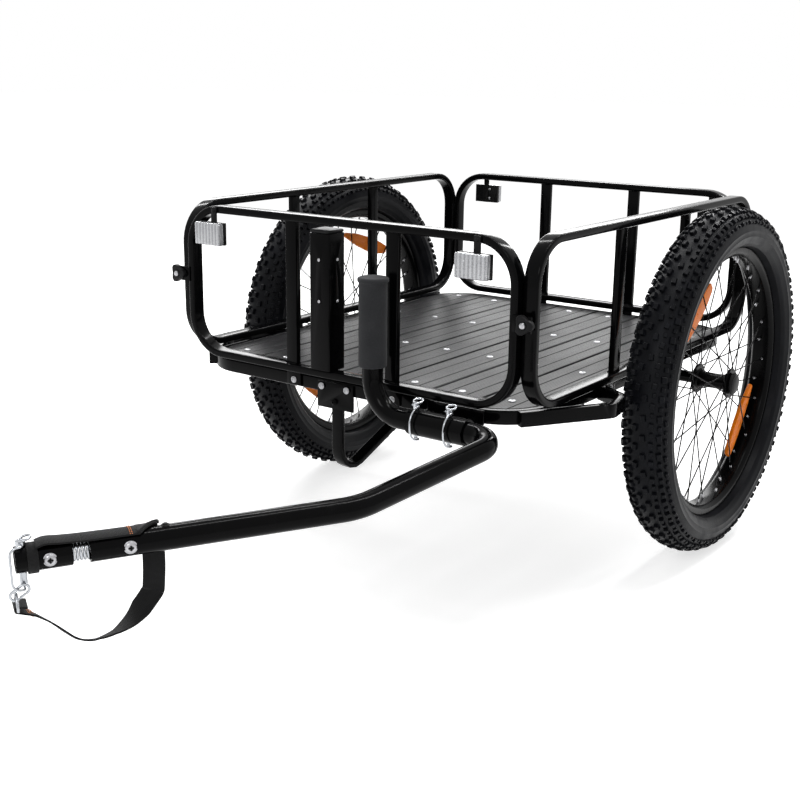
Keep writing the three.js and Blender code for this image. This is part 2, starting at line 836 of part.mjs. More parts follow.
function makeStand() {
  const legPlace = baseFront + standThickness / 2;
  const rise = (standBraceEnd - legPlace) * Math.tan(THREE.MathUtils.degToRad(standBraceDegrees));
  const footHeight = crossbarTop - crossbarHeight - seatGap - standThickness / 2;
  const corners = [
    new THREE.Vector3(legPlace, baseBottom - seatGap, 0),
    new THREE.Vector3(legPlace, standKneeHeight, 0),
    new THREE.Vector3(standBraceEnd, standKneeHeight + rise, 0),
    new THREE.Vector3(standBraceEnd + standFootRun, footHeight, 0),
    new THREE.Vector3(standBraceEnd + standFootRun + standFootLength, footHeight, 0),
  ];
  const stations = bentStations(corners, [standKneeRadius, standFootRadius, standFootRadius], standBendSteps);
  const tube = bentStrip(stations, standThickness, standWidth);
  return ontoSidePlane(tube).translate(standCentre - standWidth / 2, 0, 0);
}

function makeStandBracket() {
  const [top, bottom] = [baseTop - standBracketThickness, baseBottom - standBracketDrop];
  const outer = baseFront - seatGap - standBracketThickness;
  const middle = (top + bottom) / 2;
  const plateMiddle = outer + standBracketThickness / 2;
  const plate = block(
    standBracketWidth, standBracketThickness, top - bottom, standCentre, plateMiddle, middle);
  return weld(
    plate,
    boltHead("y", -1, standCentre - standBoltOffset, outer, railMiddle),
    boltHead("y", -1, standCentre + standBoltOffset, outer, railMiddle),
    boltHead("y", -1, standCentre, outer, baseBottom - standBracketDrop / 2),
  );
}

// Wheels, built round the X axis with the outboard side towards +X

// A turned piece round X whose flat facets lie at its radii, with a facet straight below the axis.
function aroundX(points, sides) {
  const reach = Math.cos(Math.PI / sides);
  const piece = lathe(points.map(([radius, along]) => [radius / reach, along]), sides);
  return piece.rotateY(Math.PI / sides).rotateZ(-Math.PI / 2);
}

const carcassRadius = tyreRadius - treadDepth;
const carcassDepth = carcassRadius - tyreSectionRadius;
// The crown facet's middle, not its corners, lies at the carcass radius.
const crownReach = Math.cos(THREE.MathUtils.degToRad((90 - sidewallEndDegrees) / crownSteps));

// Points [radius, along] over a half of the tyre's oval section and down to the same angle on the other side.
function tyreArc(halfWidth, depth, fromDegrees, steps) {
  const points = [];
  const sweep = 180 - 2 * fromDegrees;
  for (let i = 0; i <= steps; i += 1) {
    const angle = THREE.MathUtils.degToRad(fromDegrees + (sweep * i) / steps);
    points.push([tyreSectionRadius + depth * Math.sin(angle), halfWidth * Math.cos(angle)]);
  }
  return points;
}

// The tyre's section from one bead over the crown to the other and back along the inside.
function tyreSection() {
  const beadOuter = rimHalfWidth - rimFlangeWidth - seatGap;
  const beadInner = beadOuter - tyreWall;
  const beadFoot = rimSeatRadius + seatGap;
  const lip = rimFlangeRadius + 2 * seatGap;
  return [
    [beadFoot, beadOuter],
    [lip, beadOuter],
    ...tyreArc(tyreWidth / 2, carcassDepth / crownReach, sidewallEndDegrees, crownSteps),
    [lip, -beadOuter],
    [beadFoot, -beadOuter],
    [beadFoot, -beadInner],
    [lip + tyreWall, -beadInner],
    ...tyreArc(tyreWidth / 2 - tyreWall, carcassDepth - tyreWall, 180 - sidewallEndDegrees, linerSteps),
    [lip + tyreWall, beadInner],
    [beadFoot, beadInner],
  ];
}

// A knob on alternate sides of the crown and one on each shoulder, each raised from a facet of the carcass.
function makeTyre() {
  const section = tyreSection();
  const crown = 2 + (crownSteps - 1) / 2;
  const faces = [];
  for (let i = 0; i < wheelSides; i += 1) {
    const turns = [i - 0.5, i + 0.5].map((step) => (2 * Math.PI * step) / wheelSides);
    section.forEach((corner, j) => {
      const next = section[(j + 1) % section.length];
      const facet = [
        facetCorner(corner, turns[0]),
        facetCorner(corner, turns[1]),
        facetCorner(next, turns[1]),
        facetCorner(next, turns[0]),
      ];
      if (j === crown) {
        const sway = i % 2 === 0 ? centreKnobOffset : -centreKnobOffset;
        faces.push(...raisedKnob(facet, centreKnobLength, centreKnobWidth, sway));
      } else if (j === crown - 1 || j === crown + 1) {
        faces.push(...raisedKnob(facet, shoulderKnobLength, shoulderKnobWidth, 0));
      } else {
        faces.push(facet);
      }
    });
  }
  return faceMesh(faces);
}

// A corner of a ring of flat facets round X, each facet's middle at the corner's radius.
function facetCorner([radius, along], turn) {
  const reach = radius / Math.cos(Math.PI / wheelSides);
  return new THREE.Vector3(along, reach * Math.sin(turn), reach * Math.cos(turn));
}

// A facet with a tapered block raised from its middle, as flat faces.
function raisedKnob(facet, length, width, sway) {
  const [a, b, c, d] = facet;
  const lengthways = b.clone().sub(a).normalize();
  const middle = facet.reduce((sum, corner) => sum.add(corner), new THREE.Vector3()).divideScalar(4);
  const out = lengthways.clone().cross(c.clone().sub(b)).normalize();
  const widthways = out.clone().cross(lengthways);
  middle.addScaledVector(widthways, sway);
  const ringOf = (lift, share) => [[-1, -1], [1, -1], [1, 1], [-1, 1]].map(([u, v]) =>
    middle.clone()
      .addScaledVector(lengthways, (u * share * length) / 2)
      .addScaledVector(widthways, (v * share * width) / 2)
      .addScaledVector(out, lift));
  const foot = ringOf(0, 1);
  const top = ringOf(treadDepth, knobTopShare);
  const faces = [top];
  for (let i = 0; i < 4; i += 1) {
    const j = (i + 1) % 4;
    faces.push([facet[i], facet[j], foot[j], foot[i]], [foot[i], foot[j], top[j], top[i]]);
  }
  return faces;
}

// One closed mesh from four-cornered flat faces.
function faceMesh(faces) {
  const positions = faces.flatMap(([a, b, c, d]) => [a, b, c, a, c, d]).flatMap((point) => point.toArray());
  const geometry = new THREE.BufferGeometry();
  geometry.setAttribute("position", new THREE.Float32BufferAttribute(positions, 3));
  return geometry;
}

function makeRim() {
  const flangeInner = rimHalfWidth - rimFlangeWidth;
  const half = [
    [rimSeatRadius, flangeInner],
    [rimFlangeRadius, flangeInner],
    [rimFlangeRadius, rimHalfWidth],
    [rimInnerRadius + rimChamfer, rimHalfWidth],
    [rimInnerRadius, rimHalfWidth - rimChamfer],
  ];
  const mirroredHalf = half.map(([radius, along]) => [radius, -along]).reverse();
  return aroundX([...half, ...mirroredHalf, half[0]], wheelSides);
}

const hubBore = axleStubRadius + seatGap;
const outboardFlange = hubOutboardEnd - hubEndLength - hubFlangeWidth / 2;
const inboardFlange = -hubInboardEnd + hubEndLength + hubFlangeWidth / 2;

function makeHub() {
  const profile = [[hubBore, -hubInboardEnd]];
  profile.push([hubEndRadius, -hubInboardEnd], [hubEndRadius, inboardFlange - hubFlangeWidth / 2]);
  for (const flange of [inboardFlange, outboardFlange]) {
    if (flange === outboardFlange) profile.push([hubBarrelRadius, flange - hubFlangeWidth]);
    profile.push([hubFlangeRadius, flange - hubFlangeWidth / 2]);
    profile.push([hubFlangeRadius, flange + hubFlangeWidth / 2]);
    if (flange === inboardFlange) profile.push([hubBarrelRadius, flange + hubFlangeWidth]);
  }
  profile.push([hubEndRadius, outboardFlange + hubFlangeWidth / 2], [hubEndRadius, hubOutboardEnd]);
  profile.push([hubBore, hubOutboardEnd], [hubBore, -hubInboardEnd]);
  const barrel = aroundX(profile, hubSides);
  const spokes = [];
  for (let i = 0; i < spokeCount; i += 1) {
    spokes.push(makeSpoke(i));
  }
  return weld(barrel, ...spokes);
}

function onWheel(along, radius, angle) {
  return new THREE.Vector3(along, radius * Math.cos(angle), radius * Math.sin(angle));
}

// Where spoke i leaves its flange and where it meets the rim, for a wheel laced three cross.
function spokeEnds(i) {
  const flange = i % 2 === 0 ? outboardFlange : inboardFlange;
  const lace = Math.floor(i / 2) % 2 === 0 ? 1 : -1;
  const rimAngle = (2 * Math.PI * i) / spokeCount;
  const hubAngle = rimAngle + lace * THREE.MathUtils.degToRad(spokeLaceDegrees);
  const rimReach = rimInnerRadius - seatGap;
  const weave = (lace * spokeWeave) / 2;
  return [
    onWheel(flange + weave, spokeHoleRadius, hubAngle),
    onWheel(Math.sign(flange) * spokeRimOffset + weave, rimReach, rimAngle),
  ];
}

function makeSpoke(i) {
  const [start, end] = spokeEnds(i);
  const spoke = new THREE.CylinderGeometry(spokeRadius, spokeRadius, start.distanceTo(end), spokeSides);
  const direction = end.clone().sub(start).normalize();
  spoke.applyQuaternion(new THREE.Quaternion().setFromUnitVectors(new THREE.Vector3(0, 1, 0), direction));
  return spoke.translate(...start.lerp(end, 0.5).toArray());
}

function makeHubCap() {
  const start = hubOutboardEnd + seatGap;
  const end = start + hubCapLength;
  return aroundX([
    [0, start],
    [hubCapRadius, start],
    [hubCapRadius, start + hubCapLength * 0.35],
    [hubCapRadius * 0.85, start + hubCapLength * 0.75],
    [hubCapRadius * 0.5, end],
    [0, end],
  ], hubSides);
}

// A spoke reflector fills the space between the two layers of spokes where its rim edge lies.
function makeWheelReflector(degrees) {
  const half = THREE.MathUtils.degToRad(wheelReflectorDegrees / 2);
  const shape = new THREE.Shape();
  shape.absarc(0, 0, wheelReflectorOuter, -half, half, false);
  shape.absarc(0, 0, wheelReflectorInner, half, -half, true);
  shape.closePath();
  const reach = (rimInnerRadius - wheelReflectorOuter) / (rimInnerRadius - spokeHoleRadius);
  const layer = spokeRimOffset - spokeWeave / 2 + (outboardFlange - spokeRimOffset) * reach;
  const thickness = 2 * (layer - spokeRadius - seatGap);
  const lens = new THREE.ExtrudeGeometry(shape, {
    depth: thickness,
    curveSegments: wheelReflectorSteps,
    bevelEnabled: false,
  });
  lens.translate(0, 0, -thickness / 2);
  return ontoSidePlane(lens).rotateX(THREE.MathUtils.degToRad(degrees));
}

// The geometry seen in a mirror at x = 0, with its faces turned back outwards.
function mirrored(geometry) {
  const copy = geometryOf(solidOf(geometry)).scale(-1, 1, 1);
  const index = copy.index.array;
  for (let i = 0; i < index.length; i += 3) {
    [index[i + 1], index[i + 2]] = [index[i + 2], index[i + 1]];
  }
  return copy;
}

function addWheel(name, side, reflectorDegrees) {
  const wheel = new THREE.Group();
  wheel.position.set((side * trackWidth) / 2, 0, axleHeight);
  group.add(wheel);
  const facing = (geometry) => (side > 0 ? geometry : mirrored(geometry));
  addPiece(`tyre_${name}`, facing(makeTyre()), tyreRubber, wheel);
  addPiece(`rim_${name}`, facing(makeRim()), blackPaint, wheel);
  addPiece(`hub_${name}`, facing(makeHub()), blackPaint, wheel);
  addPiece(`hub_cap_${name}`, facing(makeHubCap()), blackPlastic, wheel);
  reflectorDegrees.forEach((degrees, i) => {
    addPiece(`spoke_reflector_${name}_${i + 1}`, makeWheelReflector(degrees), orangeLens, wheel);
  });
}

function makeAxle() {
  const beamEnd = trackWidth / 2 - hubInboardEnd - seatGap;
  const stubEnd = trackWidth / 2 + hubOutboardEnd - seatGap;
  return weld(
    rod("x", axleBeamRadius, -beamEnd, beamEnd, 0, axleHeight, boreSides),
    rod("x", axleStubRadius, -stubEnd, stubEnd, 0, axleHeight),
  );
}

// Tow arm, from the hand grip down, across under the front rail and forward to the hitch

const armPlace = baseFront - armAhead;
const armKnee = new THREE.Vector3(...kneePoint);
const armTip = new THREE.Vector3(...armEnd);
const armHeading = armTip.clone().sub(armKnee).normalize();

// The hitch's own frame: its origin in the middle of the spring, X along the arm, Y to the near side, Z up.
const hitchFrame = new THREE.Matrix4();
const hitchSide = new THREE.Vector3(0, 0, 1).cross(armHeading).normalize();
const springCentre = armTip.clone().addScaledVector(armHeading, springHalfGap);
hitchFrame.makeBasis(armHeading, hitchSide, armHeading.clone().cross(hitchSide)).setPosition(springCentre);

function makeTowArm() {
  const corners = [
    new THREE.Vector3(handleX, armPlace, handleTop),
    new THREE.Vector3(handleX, armPlace, armHeight),
    new THREE.Vector3(elbowX, armPlace, armHeight),
    armKnee,
    armTip,
  ];
  const stations = bentStations(corners, [handleBend, elbowBend, kneeBend], armBendSteps);
  const arm = bentRod(stations, armRadius, armSides);
  const bolts = bigBolts(-bigBoltPlace - springHalfGap * 2);
  const bore = rod("x", springBoreRadius, -springHalfGap - springBoreDepth, 0, 0, 0, boreSides);
  return carve(
    weld(arm, ...bolts.map((bolt) => bolt.applyMatrix4(hitchFrame))),
    bore.applyMatrix4(hitchFrame),
    ...lockPinPlaces.map((place) => pinHole(lockPinRadius, place, armPlace, armHeight)),
  );
}

function pinHole(radius, x, y, z) {
  const reach = armRadius + sleeveWall + cutOverrun;
  return rod("z", radius + seatGap, z - reach, z + reach, x, y);
}

// The two ends of a big bolt through the tube, in the hitch's frame.
function bigBolts(place) {
  const seat = armRadius - bigBoltHeight / 2;
  return [1, -1].map((side) => boltHead("y", side, place, side * seat, 0, bigBoltRadius, bigBoltHeight));
}

function makeHandGrip() {
  const bore = (armRadius + seatGap) / Math.cos(Math.PI / boreSides);
  const top = handleTop + gripCrown;
  const bottom = top - gripLength;
  const flange = gripRadius + gripFlange;
  return lathe([
    [bore, bottom],
    [gripRadius - gripFlange / 2, bottom],
    [gripRadius, bottom + gripFlange],
    [gripRadius, top - gripFlangeLength],
    [flange, top - gripFlangeLength + gripFlange / 2],
    [flange, top - gripFlange],
    [gripRadius, top],
    [0, top],
    [0, handleTop + seatGap],
    [bore, handleTop + seatGap],
    [bore, bottom],
  ], boreSides).rotateX(Math.PI / 2).translate(handleX, armPlace, 0);
}

function makeReceiver() {
  const outer = armRadius + seatGap + sleeveWall;
  const sleeve = rod("x", outer, sleeveStart, sleeveEnd, armPlace, armHeight, roundTubeSides);
  const plateOuter = baseFront - seatGap - tabThickness;
  const plateWidth = sleeveEnd - sleeveStart;
  const middle = (sleeveStart + sleeveEnd) / 2;
  const plate = block(
    plateWidth, tabThickness, baseTubeHeight, middle, plateOuter + tabThickness / 2, railMiddle);
  const webLength = plateOuter + weldDepth - armPlace;
  const webs = [sleeveStart + sleeveBracketInset, sleeveEnd - sleeveBracketInset].map((x) =>
    block(sleeveBracketWall, webLength, 2 * outer - 2 * sleeveWall, x, armPlace + webLength / 2, armHeight));
  const roomMiddle = panelBottom - seatGap + armRadius;
  const room = block(plateWidth, panelTubeDepth, 2 * armRadius, middle, frontPanelPlane, roomMiddle);
  const [boreStart, boreEnd] = [sleeveStart - cutOverrun, sleeveEnd + cutOverrun];
  const boreRadius = (armRadius + seatGap) / Math.cos(Math.PI / roundTubeSides);
  const bore = rod("x", boreRadius, boreStart, boreEnd, armPlace, armHeight, roundTubeSides);
  return carve(
    weld(sleeve, plate, ...webs),
    room,
    bore,
    ...lockPinPlaces.map((place) => pinHole(lockPinRadius, place, armPlace, armHeight)),
  );
}

// Snap pins and their wire bails, in a frame with its origin on the bail's pivot, X forwards and Z up

function makeSnapPin(radius, headBelow, drop) {
  const headRadius = radius + pinHeadWall;
  const headTop = bailWireRadius + seatGap + pinHeadWall + ringWireRadius;
  const tip = -drop + bailWireRadius + seatGap;
  const ring = new THREE.TorusGeometry(ringRadius, ringWireRadius, ringSides, ringSteps);
  ring.translate(-ringRadius + headRadius / 3, 0, 0);
  ring.rotateY(THREE.MathUtils.degToRad(ringTiltDegrees)).translate(0, 0, headTop);
  const body = weld(
    rod("z", headRadius, -headBelow, headTop, 0, 0),
    rod("z", radius, tip, 0, 0, 0),
    ring,
  );
  const wireHole = rod("y", bailWireRadius + seatGap, -2 * headRadius, 2 * headRadius, 0, 0, bailWireSides);
  return carve(body, wireHole);
}

function makeBail(pinRadius, ahead, drop, offset, corner) {
  const start = -(pinRadius + pinHeadWall + bailTail);
  const corners = [
    new THREE.Vector3(0, start, 0),
    new THREE.Vector3(0, offset, 0),
    new THREE.Vector3(ahead, offset, 0),
    new THREE.Vector3(ahead, offset, -drop),
    new THREE.Vector3(0, offset, -drop),
    new THREE.Vector3(0, -bailTail, -drop),
  ];
  const stations = bentStations(corners, [bailBend, corner, corner, bailBend], bailBendSteps);
  return bentRod(stations, bailWireRadius, bailWireSides);
}

const lockBailReach = armRadius + seatGap + sleeveWall + bailClearance + bailWireRadius;
const lockHeadBelow = bailClearance + bailWireRadius - seatGap;
const lockBailOffset = lockPinRadius + pinHeadWall + bailWireRadius + 2 * seatGap;

function addLockPin(place, number) {
  const pivot = [place, armPlace, armHeight + lockBailReach];
  const pin = makeSnapPin(lockPinRadius, lockHeadBelow, 2 * lockBailReach);
  const corner = lockBailReach - bailBend - 2 * seatGap;
  const bail = makeBail(lockPinRadius, lockBailReach, 2 * lockBailReach, lockBailOffset, corner);
  addPiece(`lock_pin_${number}`, pin.rotateZ(-Math.PI / 2).translate(...pivot), chrome);
  addPiece(`lock_bail_${number}`, bail.rotateZ(-Math.PI / 2).translate(...pivot), chrome);
}

// Coil spring in the hitch's frame: a wound wire whose ends run straight into the two tubes

// The wire's centre line, unrolled: how far along the axis, how far round, and the slope there.
function springRoute() {
  const reach = springHalfGap + springBoreDepth - seatGap;
  const lead = 2 * springWireRadius;
  const start = -reach + lead;
  const around = 2 * Math.PI * springCoilRadius * springTurns;
  const climb = 2 * (reach - lead - springElbow);
  const slope = Math.atan2(climb, around);
  const elbowTurn = Math.PI / 2 - slope;
  const half = [{ along: -reach, round: 0, slope: Math.PI / 2 }];
  for (let step = 0; step <= 2; step += 1) {
    const turn = (elbowTurn * step) / 2;
    half.push({
      along: start + springElbow * Math.sin(turn),
      round: springElbow * (1 - Math.cos(turn)),
      slope: Math.PI / 2 - turn,
    });
  }
  const first = half.at(-1);
  const end = 2 * first.round + around;
  const steps = Math.round(springTurns * springStepsPerTurn);
  const coil = [];
  for (let step = 1; step < steps; step += 1) {
    const share = step / steps;
    coil.push({
      along: first.along - 2 * first.along * share,
      round: first.round + (end - 2 * first.round) * share,
      slope,
    });
  }
  const otherHalf = half.map((place) => ({ ...place, along: -place.along, round: end - place.round }));
  return [...half, ...coil, ...otherHalf.reverse()];
}

function springStation({ along, round, slope }) {
  const angle = round / springCoilRadius;
  const outward = new THREE.Vector3(0, Math.cos(angle), Math.sin(angle));
  const sideways = new THREE.Vector3(0, -Math.sin(angle), Math.cos(angle));
  const point = outward.clone().multiplyScalar(springCoilRadius).setX(along);
  const tangent = sideways.multiplyScalar(Math.cos(slope)).setX(Math.sin(slope));
  return { point, outward, binormal: tangent.clone().cross(outward) };
}

function makeSpring() {
  const stations = springRoute().map(springStation);
  printSpringGap(stations);
  return loft(stations.map(({ point, outward, binormal }) => {
    const ring = [];
    for (let i = 0; i < springSides; i += 1) {
      const angle = (2 * Math.PI * i) / springSides;
      const [out, over] = [Math.cos(angle) * springWireRadius, Math.sin(angle) * springWireRadius];
      ring.push(point.clone().addScaledVector(outward, out).addScaledVector(binormal, over));
    }
    return ring;
  }));
}

// Measures the least gap between stretches of the wire that lie half a turn or more apart.
function printSpringGap(stations) {
  const apart = springStepsPerTurn / 2;
  let least = Infinity;
  for (let i = 0; i < stations.length; i += 1) {
    for (let j = i + apart; j < stations.length; j += 1) {
      least = Math.min(least, stations[i].point.distanceTo(stations[j].point));
    }
  }
  console.log(`coil spring: least gap to itself ${(least - 2 * springWireRadius).toFixed(2)} mm`);
}

function makeHitchTube() {
  const tube = rod("x", armRadius, springHalfGap, headEnd, 0, 0, armSides);
  return carve(
    weld(tube, ...bigBolts(bigBoltPlace)),
    rod("x", springBoreRadius, 0, springHalfGap + springBoreDepth, 0, 0, boreSides),
    rod("x", headMouthRadius, headEnd - headMouthDepth, headEnd + cutOverrun, 0, 0, boreSides),
    pinHole(hitchPinRadius, hitchPinPlace, 0, 0),
  );
}

// Safety strap: lies on top of the arm, folds over its far side, hangs, and ends in a curl round its ring

function strapSection({ centre, across, normal }) {
  const lift = normal.clone().multiplyScalar(strapThickness / 2);
  const left = centre.clone().add(across);
  const right = centre.clone().sub(across);
  return [
    left.clone().add(lift),
    left.clone().sub(lift),
    right.clone().sub(lift),
    right.clone().add(lift),
  ];
}

function makeStrap() {
  const half = strapWidth / 2;
  const up = new THREE.Vector3(0, 0, 1);
  const stations = strapTop.map(([x, z]) => ({
    centre: new THREE.Vector3(x, 0, z),
    across: new THREE.Vector3(0, half, 0),
    normal: up,
  }));
  const foldHeight = strapTop.at(-1)[1];
  const foldOut = new THREE.Vector3(-1, 1, 0).normalize();
  for (let step = 0; step <= 3; step += 1) {
    const turn = (Math.PI * step) / 3;
    stations.push({
      centre: new THREE.Vector3(strapFoldPlace, 0, foldHeight + strapFoldRadius * (1 - Math.cos(turn)))
        .addScaledVector(foldOut, strapFoldRadius * Math.sin(turn)),
      across: new THREE.Vector3(half, half, 0),
      normal: up.clone().multiplyScalar(Math.cos(turn)).addScaledVector(foldOut, Math.sin(turn)),
    });
  }
  stations.push(...hangingStations(half));
  const strap = loft(stations.map(strapSection));
  const inside = armRadius + seatGap;
  const collarEnd = collarPlace + collarWidth;
  const collar = carve(
    rod("x", inside + collarThickness, collarPlace, collarEnd, 0, 0, armSides),
    rod("x", inside, collarPlace - cutOverrun, collarEnd + cutOverrun, 0, 0, armSides),
  );
  return weld(strap, collar);
}

// The hanging stretch and the curl, each station's face square to its run and its width.
function hangingStations(half) {
  const stations = strapHang.map(([x, y, z, acrossX, acrossY, acrossZ]) => ({
    centre: new THREE.Vector3(x, y, z),
    across: new THREE.Vector3(acrossX, acrossY, acrossZ).setLength(half),
  }));
  const [curlX, curlZ] = strapCurl;
  for (const degrees of strapCurlTurns) {
    const turn = THREE.MathUtils.degToRad(degrees);
    const out = new THREE.Vector3(Math.sin(turn), 0, -Math.cos(turn)).multiplyScalar(strapCurlRadius);
    const centre = out.add(new THREE.Vector3(curlX, 0, curlZ));
    stations.push({ centre, across: new THREE.Vector3(0, -half, 0) });
  }
  const last = stations.at(-1).centre;
  const back = last.clone().sub(stations.at(-2).centre).normalize();
  const tip = last.clone().addScaledVector(back, strapTail);
  stations.push({ centre: tip, across: new THREE.Vector3(0, -half, 0) });
  stations.forEach((station, i) => {
    const before = stations[Math.max(i - 1, 0)].centre;
    const after = stations[Math.min(i + 1, stations.length - 1)].centre;
    const run = after.clone().sub(before).normalize();
    station.normal = station.across.clone().cross(run).normalize();
  });
  return stations;
}

// The strap's D-shaped ring, its straight bar inside the strap's curl.
function makeStrapRing() {
  const [curlX, curlZ] = strapCurl;
  const outline = dOutline(new THREE.Shape(), dRingWire / 2);
  outline.holes.push(dOutline(new THREE.Path(), -dRingWire / 2));
  const edge = dRingWire / 4;
  const ring = new THREE.ExtrudeGeometry(outline, {
    depth: dRingWire - 2 * edge,
    curveSegments: dRingSteps,
    bevelSegments: 1,
    bevelThickness: edge,
    bevelSize: edge,
    bevelOffset: -edge,
  });
  return ontoSidePlane(ring).translate(curlX - dRingWire / 2 + edge, 0, curlZ);
}

function dOutline(outline, offset) {
  const half = dRingHalfWidth + offset;
  outline.moveTo(-half, -offset);
  outline.lineTo(half, -offset);
  outline.absellipse(0, 0, half, dRingHeight + offset, 0, Math.PI, false);
  outline.closePath();
  return outline;
}

// Snap hook: an oval link that hangs on the bail's lower run and holds the strap's ring

const hookTop = new THREE.Vector3(hitchPinPlace, 0, hitchPivotHeight - hitchBailDrop);
const hookRun = new THREE.Vector3(strapCurl[0], 0, strapCurl[1] + dRingHeight - dRingWire / 2).sub(hookTop);
const hookHalf = hookRun.length() / 2 + hookEndRoom;
const hookAlong = hookRun.clone().normalize();
const hookMiddle = hookTop.clone().addScaledVector(hookAlong, hookRun.length() / 2 + hookShift);
const hookPlace = hitchBailOffset - bailBend - seatGap - hookThickness / 2;

// Places a piece drawn with its length along X, in the XY plane, into the hitch's frame.
function intoHook(geometry) {
  const through = new THREE.Vector3(0, -1, 0);
  const basis = new THREE.Matrix4().makeBasis(hookAlong, through.clone().cross(hookAlong), through);
  return geometry.applyMatrix4(basis).translate(hookMiddle.x, hookPlace, hookMiddle.z);
}

function ovalPlate(halfLength, halfWidth, thickness) {
  const outline = roundedOutline(new THREE.Shape(), 2 * halfLength, 2 * halfWidth, halfWidth - seatGap);
  const plate = new THREE.ExtrudeGeometry(outline, {
    depth: thickness,
    curveSegments: hookEndSteps,
    bevelEnabled: false,
  });
  return plate.translate(0, 0, -thickness / 2);
}

function makeSnapHook() {
  const link = ovalPlate(hookHalf + hookWire, hookInnerHalfWidth + hookWire, hookThickness);
  const room = ovalPlate(hookHalf, hookInnerHalfWidth, hookThickness + 2 * cutOverrun);
  const gatePlace = gateSide * (hookInnerHalfWidth + hookWire);
  const gateRoom = block(
    gateLength + 2 * seatGap, 2 * hookWire, hookThickness + 2 * cutOverrun, 0, gatePlace, 0);
  return intoHook(carve(link, room, gateRoom));
}

function makeSnapGate() {
  const radius = hookWire / 2 - seatGap;
  const place = gateSide * (hookInnerHalfWidth + hookWire / 2);
  const pivot = gateLength / 2 - radius;
  const barMiddle = (pivot - gateLength / 2) / 2;
  const bar = block(pivot + gateLength / 2, 2 * radius, hookThickness, barMiddle, place, 0);
  return intoHook(weld(bar, rod("z", radius, -hookThickness / 2, hookThickness / 2, pivot, place)));
}

// Assembly

addPiece("base_frame", makeBaseFrame(), blackPaint);
for (let i = 0; i < plankCount; i += 1) {
  addPiece(`floor_plank_${i + 1}`, makePlank(i), plankFinish);
}
const frontPanel = makeEndPanel(baseFront - frontPanelPlane).translate(0, frontPanelPlane, 0);
const rearPanel = makeEndPanel(rearPanelPlane - baseRear).rotateZ(Math.PI).translate(0, rearPanelPlane, 0);
addPiece("front_panel", frontPanel, blackPaint);
addPiece("rear_panel", rearPanel, blackPaint);
addPiece("left_panel", makeSidePanel(), blackPaint);
addPiece("right_panel", mirrored(makeSidePanel()), blackPaint);

for (const [end, plane, turn] of [["front", frontPanelPlane, 0], ["rear", rearPanelPlane, Math.PI]]) {
  for (const [hand, side] of [["left", 1], ["right", -1]]) {
    const direction = turn === 0 ? -1 : 1;
    const plateFace = plane + direction * (latchFace + seatGap);
    addPiece(`corner_knob_${end}_${hand}`,
      makeCornerKnob().rotateZ(turn).translate(side * studX, plateFace, knobHeight), blackPlastic);
    const face = plane + direction * panelHalfDepth;
    addPiece(`reflector_bracket_${end}_${hand}`,
      makeReflectorBracket().rotateZ(turn).translate(side * lensCentre, face, 0), blackPlastic);
    const lens = makeLens().rotateZ(turn).translate(side * lensCentre, face, 0);
    addPiece(`reflector_${end}_${hand}`, lens, clearLens);
  }
}

addPiece("front_post", makeFrontPost(), blackPaint);
addPiece("post_cap", makePostCap(), blackPlastic);
addPiece("wheel_guard_left", makeWheelGuard(), blackPaint);
addPiece("wheel_guard_right", mirrored(makeWheelGuard()), blackPaint);
addPiece("stand", makeStand(), blackPaint);
addPiece("stand_bracket", makeStandBracket(), blackPaint);
addPiece("axle", makeAxle(), blackPaint);
addWheel("left", 1, leftReflectorDegrees);
addWheel("right", -1, rightReflectorDegrees);

addPiece("receiver_sleeve", makeReceiver(), blackPaint);
addPiece("tow_arm", makeTowArm(), blackPaint);
addPiece("hand_grip", makeHandGrip(), foam);
lockPinPlaces.forEach((place, i) => addLockPin(place, i + 1));

const hitch = new THREE.Group();
hitch.applyMatrix4(hitchFrame);
group.add(hitch);
addPiece("coil_spring", makeSpring(), chrome, hitch);
addPiece("hitch_tube", makeHitchTube(), blackPaint, hitch);
const hitchPin = makeSnapPin(hitchPinRadius, hitchPivotHeight - armRadius - seatGap, hitchBailDrop);
const hitchBail = makeBail(hitchPinRadius, hitchBailAhead, hitchBailDrop, hitchBailOffset, hitchBailCorner);
addPiece("hitch_pin", hitchPin.translate(hitchPinPlace, 0, hitchPivotHeight), chrome, hitch);
addPiece("hitch_bail", hitchBail.translate(hitchPinPlace, 0, hitchPivotHeight), chrome, hitch);
addPiece("snap_hook", makeSnapHook(), chrome, hitch);
addPiece("snap_gate", makeSnapGate(), chrome, hitch);
addPiece("strap_ring", makeStrapRing(), chrome, hitch);
addPiece("safety_strap", makeStrap(), webbing, hitch);

// The origin lies on the ground under the middle of the trailer's whole length.
const reach = new THREE.Box3().setFromObject(group, true);
const middleOfLength = (reach.min.y + reach.max.y) / 2;
for (const piece of group.children) piece.position.y -= middleOfLength;
console.log(`the axle lies ${(-middleOfLength).toFixed(3)} mm behind the origin`);

export default group;
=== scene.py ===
# Cargo trailer towed by a bicycle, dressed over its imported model.
# Pieces are modelled in millimetres, with the axle over y = 0, and brought to the frame's metres
# when they are done.
import json
from math import atan2, cos, pi, radians, sin, tan

import bmesh
import bpy
from mathutils import Matrix, Vector


